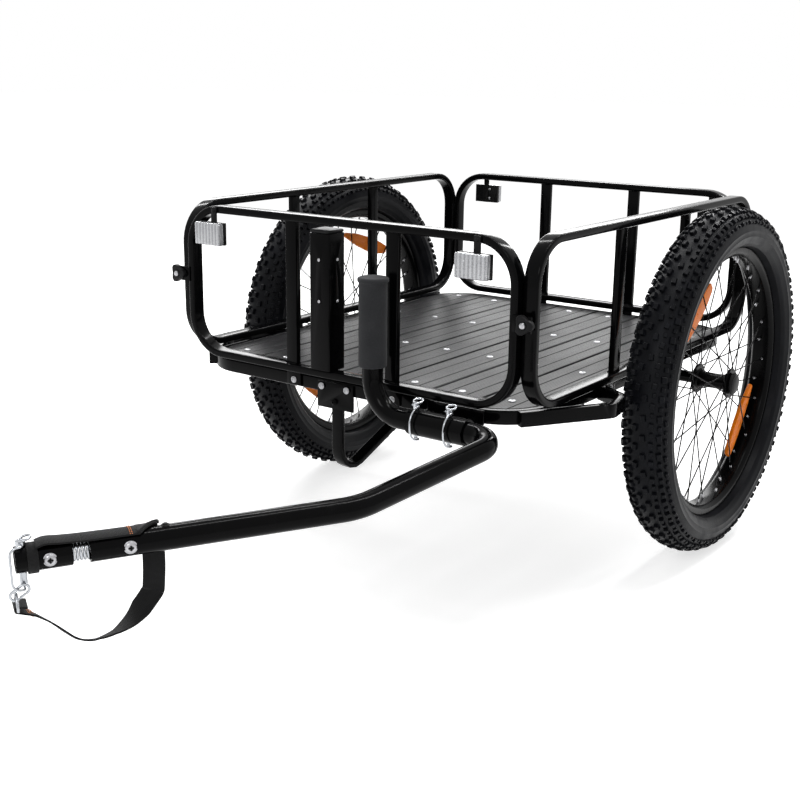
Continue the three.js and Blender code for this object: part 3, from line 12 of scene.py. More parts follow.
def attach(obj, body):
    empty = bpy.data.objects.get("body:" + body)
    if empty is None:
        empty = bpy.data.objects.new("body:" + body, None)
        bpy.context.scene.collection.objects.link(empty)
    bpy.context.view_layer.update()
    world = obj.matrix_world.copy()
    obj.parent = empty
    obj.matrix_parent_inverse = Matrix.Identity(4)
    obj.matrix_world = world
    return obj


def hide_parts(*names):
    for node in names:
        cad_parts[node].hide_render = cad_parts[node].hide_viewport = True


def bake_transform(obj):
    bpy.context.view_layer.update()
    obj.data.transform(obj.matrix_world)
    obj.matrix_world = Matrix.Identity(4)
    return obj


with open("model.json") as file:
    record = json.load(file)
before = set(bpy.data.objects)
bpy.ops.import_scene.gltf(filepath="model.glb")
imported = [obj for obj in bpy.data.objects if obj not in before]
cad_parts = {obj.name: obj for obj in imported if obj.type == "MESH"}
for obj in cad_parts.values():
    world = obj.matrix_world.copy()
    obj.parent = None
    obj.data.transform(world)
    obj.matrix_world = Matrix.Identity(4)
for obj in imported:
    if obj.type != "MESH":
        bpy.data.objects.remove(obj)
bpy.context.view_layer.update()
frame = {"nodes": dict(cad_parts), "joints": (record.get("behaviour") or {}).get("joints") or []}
axlePlace = next(joint["pos_m"] for joint in frame["joints"] if joint["name"] == "wheel_left_spin")
toFrame = Matrix.Translation((0, axlePlace[1], 0)) @ Matrix.Scale(0.001, 4)
print("frame loaded")

# Camera, fitted to the photograph

camera = {"place": (1083.98, -1829.94, 757.61), "yaw": 0.62832, "pitch": 0.26799, "roll": 0.01223,
          "focal": 1246.24, "picture": 800, "sensor": 36, "near": 0.05, "far": 60}


def makeCamera():
    yaw, pitch, roll = camera["yaw"], camera["pitch"], camera["roll"]
    forward = Vector((-sin(yaw) * cos(pitch), cos(yaw) * cos(pitch), -sin(pitch)))
    level = Vector((cos(yaw), sin(yaw), 0))
    steep = level.cross(forward)
    right = level * cos(roll) + steep * sin(roll)
    up = steep * cos(roll) - level * sin(roll)
    data = bpy.data.cameras.new("photoCamera")
    data.sensor_width = camera["sensor"]
    data.lens = camera["focal"] / camera["picture"] * camera["sensor"]
    data.clip_start, data.clip_end = camera["near"], camera["far"]
    lens = bpy.data.objects.new("photoCamera", data)
    bpy.context.scene.collection.objects.link(lens)
    turn = Matrix((right, up, -forward)).transposed().to_4x4()
    lens.matrix_world = Matrix.Translation(toFrame @ Vector(camera["place"])) @ turn
    bpy.context.scene.camera = lens


makeCamera()

# Finishes


class Value:  # a socket of a finish, so that its sums are written as Python
    def __init__(self, finish, socket):
        self.finish, self.socket = finish, socket

    def math(self, operation, *others):
        return self.finish.node("ShaderNodeMath", {"operation": operation}, dict(enumerate((self, *others))))

    def __add__(self, other):
        return self.math("ADD", other)

    def __sub__(self, other):
        return self.math("SUBTRACT", other)

    def __rsub__(self, other):
        return self.finish.node("ShaderNodeMath", {"operation": "SUBTRACT"}, {0: other, 1: self})

    def __mul__(self, other):
        return self.math("MULTIPLY", other)

    __radd__ = __add__
    __rmul__ = __mul__


class Finish:
    def __init__(self, name, sockets):
        self.material = bpy.data.materials.new(name)
        self.material.use_nodes = True
        self.tree = self.material.node_tree
        self.shader = self.tree.nodes["Principled BSDF"]
        self.place = self.node("ShaderNodeTexCoord", output="Object")
        for socket, value in sockets.items():
            self.shader.inputs[socket].default_value = value

    # Settings come first, then the values or links of the sockets, by name or by number
    def node(self, kind, settings={}, sockets={}, output=0):
        made = self.tree.nodes.new(kind)
        for setting, value in settings.items():
            setattr(made, setting, value)
        for socket, value in sockets.items():
            self.join(made.inputs[socket], value)
        return Value(self, made.outputs[output])

    def join(self, socket, value):
        if isinstance(value, Value):
            self.tree.links.new(value.socket, socket)
        else:
            socket.default_value = value

    def colours(self, share, first, second):
        ends = {0: share, 6: (*first, 1), 7: (*second, 1)}
        return self.node("ShaderNodeMix", {"data_type": "RGBA"}, ends, output=2)

    def split(self, output=0):  # one of the place's three numbers, X first
        return self.node("ShaderNodeSeparateXYZ", {}, {0: self.place}, output)

    def stretched(self, scale):
        return self.node("ShaderNodeMapping", {}, {"Vector": self.place, "Scale": scale})

    def noise(self, scale, detail, where=None):
        sockets = {"Vector": where or self.place, "Scale": scale, "Detail": detail}
        return self.node("ShaderNodeTexNoise", {}, sockets)

    def cells(self, scale):
        return self.node("ShaderNodeTexVoronoi", {}, {"Vector": self.place, "Scale": scale})

    def facets(self, scale, wide):  # 0 along the edges of cells, and 1 inside them
        sockets = {"Vector": self.place, "Scale": scale}
        edge = self.node("ShaderNodeTexVoronoi", {"feature": "DISTANCE_TO_EDGE"}, sockets)
        return self.spread(edge, 0.0, wide)

    def spread(self, value, low, high):  # a share that runs from 0 at low to 1 at high
        return self.node("ShaderNodeMapRange", {}, {"Value": value, "From Min": low, "From Max": high})

    def wear(self, colour, roughness=None, height=None, strength=0, depth=0):
        self.join(self.shader.inputs["Base Color"], colour)
        if roughness:
            self.join(self.shader.inputs["Roughness"], roughness)
        if height:
            sockets = {"Height": height, "Strength": strength, "Distance": depth}
            self.join(self.shader.inputs["Normal"], self.node("ShaderNodeBump", {}, sockets))
        return self.material


paintTones = (0.0008, 0.0008, 0.001), (0.003, 0.003, 0.0033)
pattern = {"plankRib": 0.004, "lensFlute": 0.00625, "warpTurn": 2.513, "weftTurn": 4.6, "weftShift": 0.8}


def makePaint(name, gloss):
    paint = Finish(name, {"Specular IOR Level": 0.06})
    cloud = paint.noise(9, 3)
    peel = paint.noise(650, 1)
    dust = paint.spread(paint.noise(55, 6), 0.56, 0.78)
    colour = paint.colours(cloud * 0.5 + dust * 0.4, *paintTones)
    return paint.wear(colour, gloss + cloud * 0.07 + dust * 0.16, peel, 0.07, 0.0004)


def makePlankFinish():
    board = Finish("plankFinish", {"Specular IOR Level": 0.07})
    ribs = (board.split() * (2 * pi / pattern["plankRib"])).math("SINE") * 0.5 + 0.5
    grooveAndShade = board.spread(ribs, 0.02, 0.3)
    grain = board.noise(1, 4, board.stretched((420, 9, 60)))
    cloud = board.noise(7, 3)
    # Grain and cloud vary the tone at random; the groove mask darkens the tone to a quarter at the bottoms of
    # the ribs, painted shade in the rib grooves
    tone = (grain * 0.65 + cloud * 0.35) * (grooveAndShade * 0.75 + 0.25)
    colour = board.colours(tone, (0.001, 0.001, 0.0013), (0.028, 0.028, 0.03))
    return board.wear(colour, 0.38 - cloud * 0.14 + grain * 0.12, grooveAndShade + grain * 0.3, 0.55, 0.0009)


def makePlastic():
    plastic = Finish("mouldedPlastic", {"Specular IOR Level": 0.12})
    grain = plastic.cells(900)
    cloud = plastic.noise(30, 3)
    colour = plastic.colours(cloud, (0.003, 0.003, 0.0035), (0.009, 0.009, 0.0095))
    return plastic.wear(colour, cloud * 0.2 + 0.34, grain, 0.18, 0.0003)


def makeRubber():
    rubber = Finish("tyreRubber", {"Specular IOR Level": 0.08})
    cloud = rubber.noise(14, 4)
    pores = rubber.noise(420, 3)
    dust = rubber.spread(rubber.noise(38, 5), 0.48, 0.75)
    colour = rubber.colours(cloud * 0.4 + dust * 0.5, (0.0022, 0.0024, 0.0034), (0.009, 0.0096, 0.0122))
    return rubber.wear(colour, cloud * 0.16 + dust * 0.16 + 0.3, pores, 0.22, 0.0006)


def makeMetal(name, dark, light, gloss):
    metal = Finish(name, {"Metallic": 1.0})
    smear = metal.noise(60, 4)
    scratch = metal.noise(1, 3, metal.stretched((90, 1500, 300)))
    colour = metal.colours(smear * 0.7 + scratch * 0.3, dark, light)
    return metal.wear(colour, gloss + smear * 0.12 + scratch * 0.08, scratch, 0.05, 0.0002)


def makeFoam():
    foam = Finish("gripFoam", {"Specular IOR Level": 0.12, "Sheen Weight": 0.06, "Sheen Roughness": 0.6})
    cells = foam.cells(1100)
    cloud = foam.noise(45, 4)
    colour = foam.colours(cloud * 0.6 + cells * 0.5, (0.014, 0.0144, 0.016), (0.04, 0.041, 0.044))
    return foam.wear(colour, cloud * 0.1 + 0.82, cells * 0.6 + cloud * 0.5, 0.6, 0.0007)


def makeOrangeLens():
    gloss = {"Coat Weight": 0.08, "Coat Roughness": 0.08, "Specular IOR Level": 0.15}
    lens = Finish("orangeLens", gloss)
    edge = lens.facets(330, 0.12)
    cloud = lens.noise(70, 4)
    # Darker along the facet edges and lighter inside each facet, painted shade in the grooves between facets;
    # the cloud is random tone
    colour = lens.colours(edge * 0.55 + cloud * 0.45, (0.8, 0.12, 0.001), (1.0, 0.27, 0.003))
    return lens.wear(colour, 0.22 + cloud * 0.16, edge, 0.35, 0.0006)


def makeClearLens():
    lens = Finish("clearLens", {"Coat Weight": 0.9, "Coat Roughness": 0.04, "Metallic": 0.55})
    edge = lens.facets(420, 0.14)
    fluteAndHighlight = (lens.split() * (2 * pi / pattern["lensFlute"])).math("SINE") * 0.5 + 0.5
    cloud = lens.noise(40, 3)
    # Lighter on the flute crests and inside the facets and darker in the flute troughs and along the facet
    # edges, painted highlight and painted shade on the lens's relief; the cloud is random tone
    tone = edge * 0.3 + fluteAndHighlight * 0.45 + cloud * 0.25
    colour = lens.colours(tone, (0.13, 0.13, 0.14), (0.6, 0.61, 0.63))
    return lens.wear(colour, 0.18 + cloud * 0.15, edge * 0.5 + fluteAndHighlight, 0.5, 0.0007)


def makeWebbing():
    sheen = {"Sheen Weight": 0.08, "Sheen Roughness": 0.5, "Specular IOR Level": 0.15}
    cloth = Finish("strapWebbing", sheen)
    cloth.place = cloth.node("ShaderNodeUVMap", {"uv_map": "weave"})
    warp = (cloth.split(0) * pattern["warpTurn"]).math("SINE")
    weft = (cloth.split(1) * pattern["weftTurn"] + warp * pattern["weftShift"]).math("SINE") * 0.5 + 0.5
    thread = warp.math("ABSOLUTE") * weft
    fuzz = cloth.noise(1.4, 4)
    # The colour is lighter on the raised threads and darkest between them, painted shade in the dips of the
    # weave; the fuzz is random tone
    colour = cloth.colours(thread * 0.6 + fuzz * 0.35, (0.002, 0.002, 0.0022), (0.013, 0.013, 0.014))
    return cloth.wear(colour, 0.62 + fuzz * 0.2, thread + fuzz * 0.2, 0.9, 0.0006)


def makeThread():
    thread = Finish("orangeThread", {"Sheen Weight": 0.3, "Specular IOR Level": 0.3})
    ply = thread.noise(1600, 3)
    colour = thread.colours(ply, (0.5, 0.11, 0.004), (0.95, 0.3, 0.02))
    return thread.wear(colour, 0.55 + ply * 0.2, ply, 0.5, 0.0003)


framePaint = makePaint("framePaint", 0.1)
wheelPaint = makePaint("wheelPaint", 0.18)
plankFinish = makePlankFinish()
mouldedPlastic = makePlastic()
tyreRubber = makeRubber()
chrome = makeMetal("chromePlate", (0.24, 0.25, 0.27), (0.62, 0.64, 0.67), 0.1)
zinc = makeMetal("zincBolt", (0.26, 0.26, 0.27), (0.58, 0.58, 0.6), 0.2)
gripFoam = makeFoam()
orangeLens = makeOrangeLens()
clearLens = makeClearLens()
strapWebbing = makeWebbing()
orangeThread = makeThread()
print("finishes made")

# Modelling helpers


def cleared():
    bpy.ops.object.select_all(action="DESELECT")


def alone(thing):
    cleared()
    thing.select_set(True)
    bpy.context.view_layer.objects.active = thing
    return thing


def edit(thing):
    alone(thing)
    bpy.ops.object.mode_set(mode="EDIT")
    bpy.ops.mesh.select_all(action="SELECT")


def leave():
    bpy.ops.object.mode_set(mode="OBJECT")


def settled():  # the new primitive, with its place in its mesh
    thing = bpy.context.object
    thing.data.transform(thing.matrix_basis)
    thing.matrix_basis = Matrix()
    return thing


def joined(things):
    cleared()
    for thing in things:
        thing.select_set(True)
    bpy.context.view_layer.objects.active = things[0]
    if len(things) > 1:
        bpy.ops.object.join()
    return things[0]


def moved(thing, matrix):
    thing.data.transform(matrix)
    if matrix.determinant() < 0:
        thing.data.flip_normals()
    return thing


def copied(thing, matrix=Matrix()):
    copy = thing.copy()
    copy.data = thing.data.copy()
    bpy.context.scene.collection.objects.link(copy)
    return moved(copy, matrix)


def at(x, y, z):
    return Matrix.Translation((x, y, z))


def turned(degrees, axis):
    return Matrix.Rotation(radians(degrees), 4, axis)


mirror = Matrix.Diagonal((-1, 1, 1, 1))


def rawBlock(size, place):
    cleared()
    bpy.ops.mesh.primitive_cube_add(size=1)
    return moved(settled(), at(*place) @ Matrix.Diagonal((*size, 1)))


def block(size, place, edge=0.8, steps=2):
    thing = rawBlock(size, place)
    edit(thing)
    bpy.ops.mesh.bevel(offset=edge, segments=steps, affect="EDGES")
    leave()
    return thing


def pickFaces(thing, wanted):  # in edit mode: selects only the faces whose outward direction passes
    bpy.ops.mesh.select_all(action="DESELECT")
    for face in bmesh.from_edit_mesh(thing.data).faces:
        face.select_set(wanted(face.normal))
    bmesh.update_edit_mesh(thing.data)


def drawnLine(points):  # a line drawn from a single point, left selected in edit mode
    cleared()
    bpy.ops.mesh.primitive_plane_add(size=1)
    thing = bpy.context.object
    edit(thing)
    bpy.ops.mesh.merge(type="CENTER")
    bpy.ops.transform.translate(value=points[0])
    for here, there in zip(points, points[1:]):
        bpy.ops.mesh.extrude_vertices_move(TRANSFORM_OT_translate={"value": there - here})
    bpy.ops.mesh.select_all(action="SELECT")
    return thing


# A profile of (along, radius) points, spun round X
def lathed(profile, steps=64):
    thing = drawnLine([Vector((along, 0, radius)) for along, radius in profile])
    bpy.ops.mesh.spin(steps=steps, angle=2 * pi, center=(0, 0, 0), axis=(1, 0, 0))
    bpy.ops.mesh.select_all(action="SELECT")
    bpy.ops.mesh.remove_doubles(threshold=0.002)
    bpy.ops.mesh.normals_make_consistent(inside=False)
    leave()
    return thing


def ringOf(thing, count):  # the piece, spun round X into a ring of copies
    edit(thing)
    angle = 2 * pi * (count - 1) / count
    bpy.ops.mesh.spin(steps=count - 1, angle=angle, center=(0, 0, 0), axis=(1, 0, 0), dupli=True)
    leave()
    return thing


# The section of a tube, square to its heading, with its height along up
def section(shape, point, heading, up):
    cleared()
    if "radius" in shape:
        sides, radius = shape["sides"], shape["radius"]
        bpy.ops.mesh.primitive_circle_add(vertices=sides, radius=radius, fill_type="NOTHING")
        thing = bpy.context.object
    else:
        bpy.ops.mesh.primitive_plane_add(size=1)
        thing = moved(settled(), Matrix.Diagonal((shape["wide"], shape["tall"], 1, 1)))
        edit(thing)
        bpy.ops.mesh.bevel(offset=shape["edge"], segments=shape["steps"], affect="VERTICES")
        bpy.ops.mesh.select_all(action="SELECT")
        bpy.ops.mesh.delete(type="ONLY_FACE")
        leave()
    side = up.cross(heading).normalized()
    basis = Matrix((side, heading.cross(side), heading)).transposed().to_4x4()
    return moved(thing, Matrix.Translation(point) @ basis)


# A tube along straight runs and round bends, as a bender makes it
def bentTube(shape, corners, bends, up=(0, 0, 1), closed=False, steps=10):
    corners = [Vector(corner) for corner in corners]
    heading = (corners[1] - corners[0]).normalized()
    thing = section(shape, corners[0], heading, Vector(up))
    edit(thing)
    here = corners[0]
    for i, radius in enumerate(bends, 1):
        onward = (corners[i + 1] - corners[i]).normalized()
        turn = heading.angle(onward)
        reach = radius * tan(turn / 2)
        start = corners[i] - heading * reach
        axis = heading.cross(onward).normalized()
        bpy.ops.mesh.extrude_edges_move(TRANSFORM_OT_translate={"value": start - here})
        middle = start + axis.cross(heading) * radius
        bpy.ops.mesh.spin(steps=steps, angle=-turn, center=middle, axis=axis)
        here = corners[i] + onward * reach
        heading = onward
    bpy.ops.mesh.extrude_edges_move(TRANSFORM_OT_translate={"value": corners[-1] - here})
    bpy.ops.mesh.select_all(action="SELECT")
    bpy.ops.mesh.remove_doubles(threshold=0.01)
    if not closed:
        bpy.ops.mesh.fill_holes(sides=0)
    bpy.ops.mesh.normals_make_consistent(inside=False)
    leave()
    return thing


def wire(points, radius, closed=False):  # round wire along points, as a bevelled curve made a mesh
    data = bpy.data.curves.new("wire", "CURVE")
    data.dimensions = "3D"
    data.bevel_depth, data.bevel_resolution, data.use_fill_caps = radius, 4, True
    spline = data.splines.new("POLY")
    spline.points.add(len(points) - 1)
    for spot, point in zip(spline.points, points):
        spot.co = (*point, 1)
    spline.use_cyclic_u = closed
    thing = bpy.data.objects.new("wire", data)
    bpy.context.scene.collection.objects.link(thing)
    alone(thing)
    bpy.ops.object.convert(target="MESH")
    thing = bpy.context.object
    edit(thing)
    bpy.ops.mesh.normals_make_consistent(inside=False)
    leave()
    return thing


def modified(thing, kind, **settings):
    alone(thing)
    modifier = thing.modifiers.new(kind, kind)
    for setting, value in settings.items():
        setattr(modifier, setting, value)
    bpy.ops.object.modifier_apply(modifier=modifier.name)
    return thing


def bevelled(thing, edge, steps, sharp):
    limits = {"limit_method": "ANGLE", "angle_limit": radians(sharp)}
    return modified(thing, "BEVEL", width=edge, segments=steps, **limits)


# A merged copy of a CAD solid with its edges eased
def eased(node, edge=0.8, steps=2, sharp=32):
    source = frame["nodes"][node]
    thing = bpy.data.objects.new("eased", source.data.copy())
    bpy.context.scene.collection.objects.link(thing)
    alone(thing)
    bpy.ops.mesh.customdata_custom_splitnormals_clear()
    thing.data.transform(toFrame.inverted())
    edit(thing)
    bpy.ops.mesh.remove_doubles(threshold=0.01)
    bpy.ops.mesh.dissolve_limited(angle_limit=radians(0.6))
    leave()
    return bevelled(thing, edge, steps, sharp)


def boxed(node, edge, steps):  # a rounded block the size of a CAD solid
    corners = [toFrame.inverted() @ vertex.co for vertex in frame["nodes"][node].data.vertices]
    low, high = [Vector([pick(axis) for axis in zip(*corners)]) for pick in (min, max)]
    return block(high - low, (low + high) / 2, edge, steps)


def done(thing, name, finish, body=None, stands=(), sharp=35):
    alone(thing)
    thing.name = thing.data.name = name
    bpy.ops.object.shade_smooth_by_angle(angle=radians(sharp))
    thing.data.transform(toFrame)
    thing.data.materials.clear()
    thing.data.materials.append(finish)
    if body:
        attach(thing, body)
    if stands:
        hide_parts(*stands)
    return thing


# Hitch frame: X along the arm, Y to the near side, Z up, with its origin in the middle of the spring

arm = {"radius": 14.5, "handle": 84, "ahead": -518, "top": 470, "low": 286.5, "elbow": 294,
       "knee": (249, -759, 255), "end": (86.7, -1019.7, 247.4), "bends": (50, 36, 110), "springGap": 9,
       "bolt": -51, "button": -92}
armHeading = (Vector(arm["end"]) - Vector(arm["knee"])).normalized()
armSide = Vector((0, 0, 1)).cross(armHeading).normalized()
hitchBasis = Matrix((armHeading, armSide, armHeading.cross(armSide))).transposed().to_4x4()
hitchFrame = Matrix.Translation(Vector(arm["end"]) + armHeading * arm["springGap"]) @ hitchBasis


# Safety strap

strap = {"width": 25, "thickness": 2, "edge": 0.45, "foldPlace": -73, "foldRadius": 1.6, "foldSteps": 6,
         "curl": (70, -52), "curlRadius": 3.1, "tail": 9, "finer": 5, "columns": 10, "drape": 30}
collar = {"place": 50, "width": 11, "radius": 15.8, "steps": 48}
# Middles over the arm as (along, up), and of the hanging part as (along, aside, up) with its width's way
strapTop = [(46, 17), (36, 19.5), (20, 18.2), (0, 17.2), (-25, 16.6), (-48, 16.2), (-62, 16.2)]
strapHang = [
    (-73, -13.2, 13.8, 1, 0, 0), (-73.5, -16, 11.4, 1, 0, 0), (-74.3, -17.8, 8, 1, 0, -0.1),
    (-76, -18.4, 2, 1, 0, -0.15), (-80, -18.4, -14, 1, 0, -0.1), (-80, -18.5, -38, 1, 0, 0.05),
    (-78, -18.5, -62, 1, 0, 0.22), (-77.2, -18.4, -66.5, 0.94, -0.1, 0.34),
    (-74.8, -18.3, -70.5, 0.86, -0.35, 0.4), (-62, -17.6, -86, 0.56, -0.68, 0.47),
    (-49, -16.5, -98.5, 0.17, -0.97, 0.14), (-31, -14.8, -108.5, 0, -0.96, -0.27),
    (-12, -13, -112.3, 0.08, -0.9, -0.42), (4, -11, -109.5, 0.27, -0.91, -0.31),
    (17, -8.5, -100, 0.31, -0.94, -0.12), (30, -5.5, -86, 0.3, -0.95, -0.1),
    (43, -3, -73.5, 0.29, -0.95, -0.14), (55, -1, -64, 0.22, -0.96, -0.15), (64, 0, -58, 0.05, -1, -0.04),
]
strapCurlTurns = [21, 60, 100, 140, 180, 205]


# Stations of (middle, half width, droop of the edges) down the strap's whole length
def strapStations():
    half = strap["width"] / 2
    droop = strap["drape"] - (strap["drape"] ** 2 - half ** 2) ** 0.5
    stations = [(Vector((x, 0, z)), Vector((0, half, 0)), Vector((0, 0, -droop))) for x, z in strapTop]
    out, flat = Vector((-1, 1, 0)).normalized(), Vector((0, 0, 0))
    for step in range(strap["foldSteps"] + 1):
        turn = pi * step / strap["foldSteps"]
        height = strapTop[-1][1] + strap["foldRadius"] * (1 - cos(turn))
        middle = Vector((strap["foldPlace"], 0, height)) + out * strap["foldRadius"] * sin(turn)
        stations.append((middle, Vector((1, 1, 0)) * half, Vector((0, 0, -droop))))
    for x, y, z, *across in strapHang:
        stations.append((Vector((x, y, z)), Vector(across).normalized() * half, flat))
    curlX, curlZ = strap["curl"]
    for degrees in strapCurlTurns:
        turn = radians(degrees)
        middle = Vector((curlX, 0, curlZ)) + Vector((sin(turn), 0, -cos(turn))) * strap["curlRadius"]
        stations.append((middle, Vector((0, -half, 0)), flat))
    back = (stations[-1][0] - stations[-2][0]).normalized()
    stations.append((stations[-1][0] + back * strap["tail"], Vector((0, -half, 0)), flat))
    return stations


def smoothed(before, start, end, after, share):  # a point on the smooth line through four
    return (start * 2 + (end - before) * share + (before * 2 - start * 5 + end * 4 - after) * share ** 2
            + (start * 3 - before - end * 3 + after) * share ** 3) / 2


# More stations, along the smooth line through the given ones
def finerStations(stations, finer):
    fine = []
    for i in range(len(stations) - 1):
        around = [stations[min(max(i + k, 0), len(stations) - 1)] for k in (-1, 0, 1, 2)]
        for step in range(finer):
            share = step / finer
            middle = smoothed(*[station[0] for station in around], share)
            fine.append((middle, *[around[1][k].lerp(around[2][k], share) for k in (1, 2)]))
    return fine + [stations[-1]]


def ribbon(stations, lengths):
    columns = strap["columns"]
    points, places, faces = [], [], []
    for (middle, half, droop), length in zip(stations, lengths):
        for column in range(columns + 1):
            share = 2 * column / columns - 1
            points.append(hitchFrame @ (middle + half * share + droop * share ** 2))
            places.append((share * half.length, length))
    for row in range(len(stations) - 1):
        for column in range(columns):
            first = row * (columns + 1) + column
            faces.append((first, first + 1, first + columns + 2, first + columns + 1))
    mesh = bpy.data.meshes.new("ribbon")
    mesh.from_pydata(points, [], faces)
    layer = mesh.uv_layers.new(name="weave")
    for loop in mesh.loops:
        layer.data[loop.index].uv = places[loop.vertex_index]
    thing = bpy.data.objects.new("ribbon", mesh)
    bpy.context.scene.collection.objects.link(thing)
    modified(thing, "SOLIDIFY", thickness=strap["thickness"], offset=0, use_even_offset=False)
    return bevelled(thing, strap["edge"], 2, 60)


stitch = {"thick": 0.42, "long": 1.35, "spacing": 3.1, "rows": (-52, -54), "rowHalf": 4, "proud": 0.1}


def stitchRow(start, end):
    count = max(2, round((end - start).length / stitch["spacing"]))
    return [(start.lerp(end, (i + 0.5) / count), (end - start).normalized()) for i in range(count)]


def oneStitch():
    cleared()
    bpy.ops.mesh.primitive_uv_sphere_add(segments=8, ring_count=6, radius=1)
    return moved(settled(), Matrix.Diagonal((stitch["thick"], stitch["thick"], stitch["long"], 1)))


# Two rows of stitches over the draped strap, between its fold and the spring
def drapedStitches():
    model = oneStitch()
    half = strap["width"] / 2 - 1
    radius = strap["drape"] + strap["thickness"] / 2 + stitch["proud"]
    things = []
    for x in stitch["rows"]:
        for i in range(-stitch["rowHalf"], stitch["rowHalf"] + 1):
            angle = i / stitch["rowHalf"] * half / strap["drape"]
            height = strapTop[-1][1] - strap["drape"] + radius * cos(angle)
            place = hitchFrame @ at(x, radius * sin(angle), height)
            things.append(copied(model, place @ turned(90, "X")))
    bpy.data.objects.remove(model)
    return joined(things)


# A box of stitches with a cross in it, on a flat stretch of strap
def stitchBox(middle, along, across, face, lengthHalf, widthHalf):
    corners = [middle + along * (a * lengthHalf) + across * (b * widthHalf)
               for a, b in ((-1, -1), (1, -1), (1, 1), (-1, 1))]
    rows = [(0, 1), (1, 2), (2, 3), (3, 0), (0, 2), (1, 3)]
    lift = face * (strap["thickness"] / 2 + stitch["proud"] / 2)
    model = oneStitch()
    things = []
    for first, last in rows:
        for place, heading in stitchRow(corners[first], corners[last]):
            side = heading.cross(face).normalized()
            basis = Matrix((side, face, heading)).transposed().to_4x4()
            things.append(copied(model, hitchFrame @ Matrix.Translation(place + lift) @ basis))
    bpy.data.objects.remove(model)
    return joined(things)


endBox = {"middle": (58.4, -0.6, -61.7), "run": (0.83, 0.09, 0.55), "across": (0.13, -0.98, -0.09),
          "lengthHalf": 3.4, "widthHalf": 9}


def makeStrap():
    stations = finerStations(strapStations(), strap["finer"])
    lengths = [0]
    for before, after in zip(stations, stations[1:]):
        lengths.append(lengths[-1] + (after[0] - before[0]).length)
    finer = strap["finer"]
    hang = len(strapTop) + strap["foldSteps"] + 1  # the station at which the hanging part starts
    springRow = 3 * finer  # over the middle of the spring
    hangRow, lowRow, endRow = (hang + 4) * finer, (hang + 11) * finer, (hang + 15) * finer
    # name, first row, last row, and the two bodies with the stretch of the arm's line between them
    parts = [
        ("strapOverHead", 0, springRow, "spring", "hitch_head", 0, 14),
        ("strapOnArm", springRow, hangRow, "frame", "spring", -34, -6),
        ("strapHanging", hangRow, lowRow, "frame", "spring", -64, -32),
        ("strapSwag", lowRow, endRow, "spring", "hitch_head", -30, 26),
        ("strapEnd", endRow, len(stations) - 1, "hitch_head", "pin_bail", 34, 58),
    ]
    for name, first, last, before, after, start, end in parts:
        piece = ribbon(stations[first:last + 1], lengths[first:last + 1])
        done(piece, name, strapWebbing, stands=("safety_strap",), sharp=50)
        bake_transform(piece)
    radius = collar["radius"]
    turns = [2 * pi * step / collar["steps"] for step in range(collar["steps"] + 1)]
    half, flat = Vector((collar["width"] / 2, 0, 0)), Vector((0, 0, 0))
    band = [(Vector((collar["place"], radius * sin(turn), radius * cos(turn))), half, flat) for turn in turns]
    piece = ribbon(band, [radius * turn for turn in turns])
    done(piece, "strapCollar", strapWebbing, "hitch_head", ("safety_strap",), 50)
    done(drapedStitches(), "armStitches", orangeThread, "frame")
    across = Vector(endBox["across"]).normalized()
    face = Vector(endBox["run"]).cross(across).normalized()
    along = across.cross(face)
    for name, side in (("endStitches", 1), ("endStitchesBack", -1)):
        outward = face if face.z * side > 0 else -face
        sizes = endBox["lengthHalf"], endBox["widthHalf"]
        box = stitchBox(Vector(endBox["middle"]), along, across, outward, *sizes)
        done(box, name, orangeThread)
        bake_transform(box)


makeStrap()
print("safety strap made")

# Hitch: spring, head tube, snap pin, bail, hook and ring

spring = {"halfGap": 9, "bore": 8, "clear": 0.3, "wire": 1.6, "coil": 9.8, "turns": 5.5, "elbow": 3.2,
          "elbowSteps": 6, "stepsPerTurn": 28}
head = {"end": 68, "mouth": 26, "bore": 12.2, "bolt": 33, "pin": 60.5, "pivot": 17.6}
bigBolt = {"radius": 6.3, "height": 3.4, "washer": 7.5, "sunk": 1, "slotLong": 6.5, "slotWide": 1.5}


def makeSpring():
    reach = spring["halfGap"] + spring["bore"] - spring["clear"]
    lead = 2 * spring["wire"]
    around = 2 * pi * spring["coil"] * spring["turns"]
    climb = 2 * (reach - lead - spring["elbow"])
    slope = atan2(climb, around)
    half = [(-reach, 0)]
    for step in range(spring["elbowSteps"] + 1):
        turn = (pi / 2 - slope) * step / spring["elbowSteps"]
        half.append((-reach + lead + spring["elbow"] * sin(turn), spring["elbow"] * (1 - cos(turn))))
    first = half[-1]
    end = 2 * first[1] + around
    steps = round(spring["turns"] * spring["stepsPerTurn"])
    coil = [(first[0] * (1 - 2 * step / steps), first[1] + (end - 2 * first[1]) * step / steps)
            for step in range(1, steps)]
    route = half + coil + [(-along, end - over) for along, over in reversed(half)]
    radius = spring["coil"]
    points = [hitchFrame @ Vector((along, radius * cos(over / radius), radius * sin(over / radius)))
              for along, over in route]
    middle = len(points) // 2
    bend = spring["halfGap"] - 1
    for name, part, before, after, start, end in (
            ("springOnArm", points[:middle + 1], "frame", "spring", -bend, 0),
            ("springOnHead", points[middle:], "spring", "hitch_head", 0, bend)):
        half = done(wire(part, spring["wire"]), name, chrome, stands=("coil_spring",))
        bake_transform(half)


# A button head with a socket, on a washer, facing +X from x = 0
def makeBolt(radius=3.7, height=2.6, washer=4.9):
    profile = [(-0.6, 0), (-0.6, washer), (0.5, washer), (0.8, washer - 0.35), (0.8, radius),
               (height * 0.45, radius), (height * 0.8, radius * 0.86), (height, radius * 0.6),
               (height, radius * 0.44), (height * 0.4, radius * 0.4), (height * 0.4, 0)]
    return lathed(profile, 24)


boltModel = makeBolt()
facing = {"+x": Matrix(), "-x": turned(180, "Z"), "-y": turned(-90, "Z"), "+y": turned(90, "Z"),
          "+z": turned(-90, "Y")}


def boltsAt(places, model=boltModel):
    return joined([copied(model, at(*place) @ facing[way]) for way, *place in places])


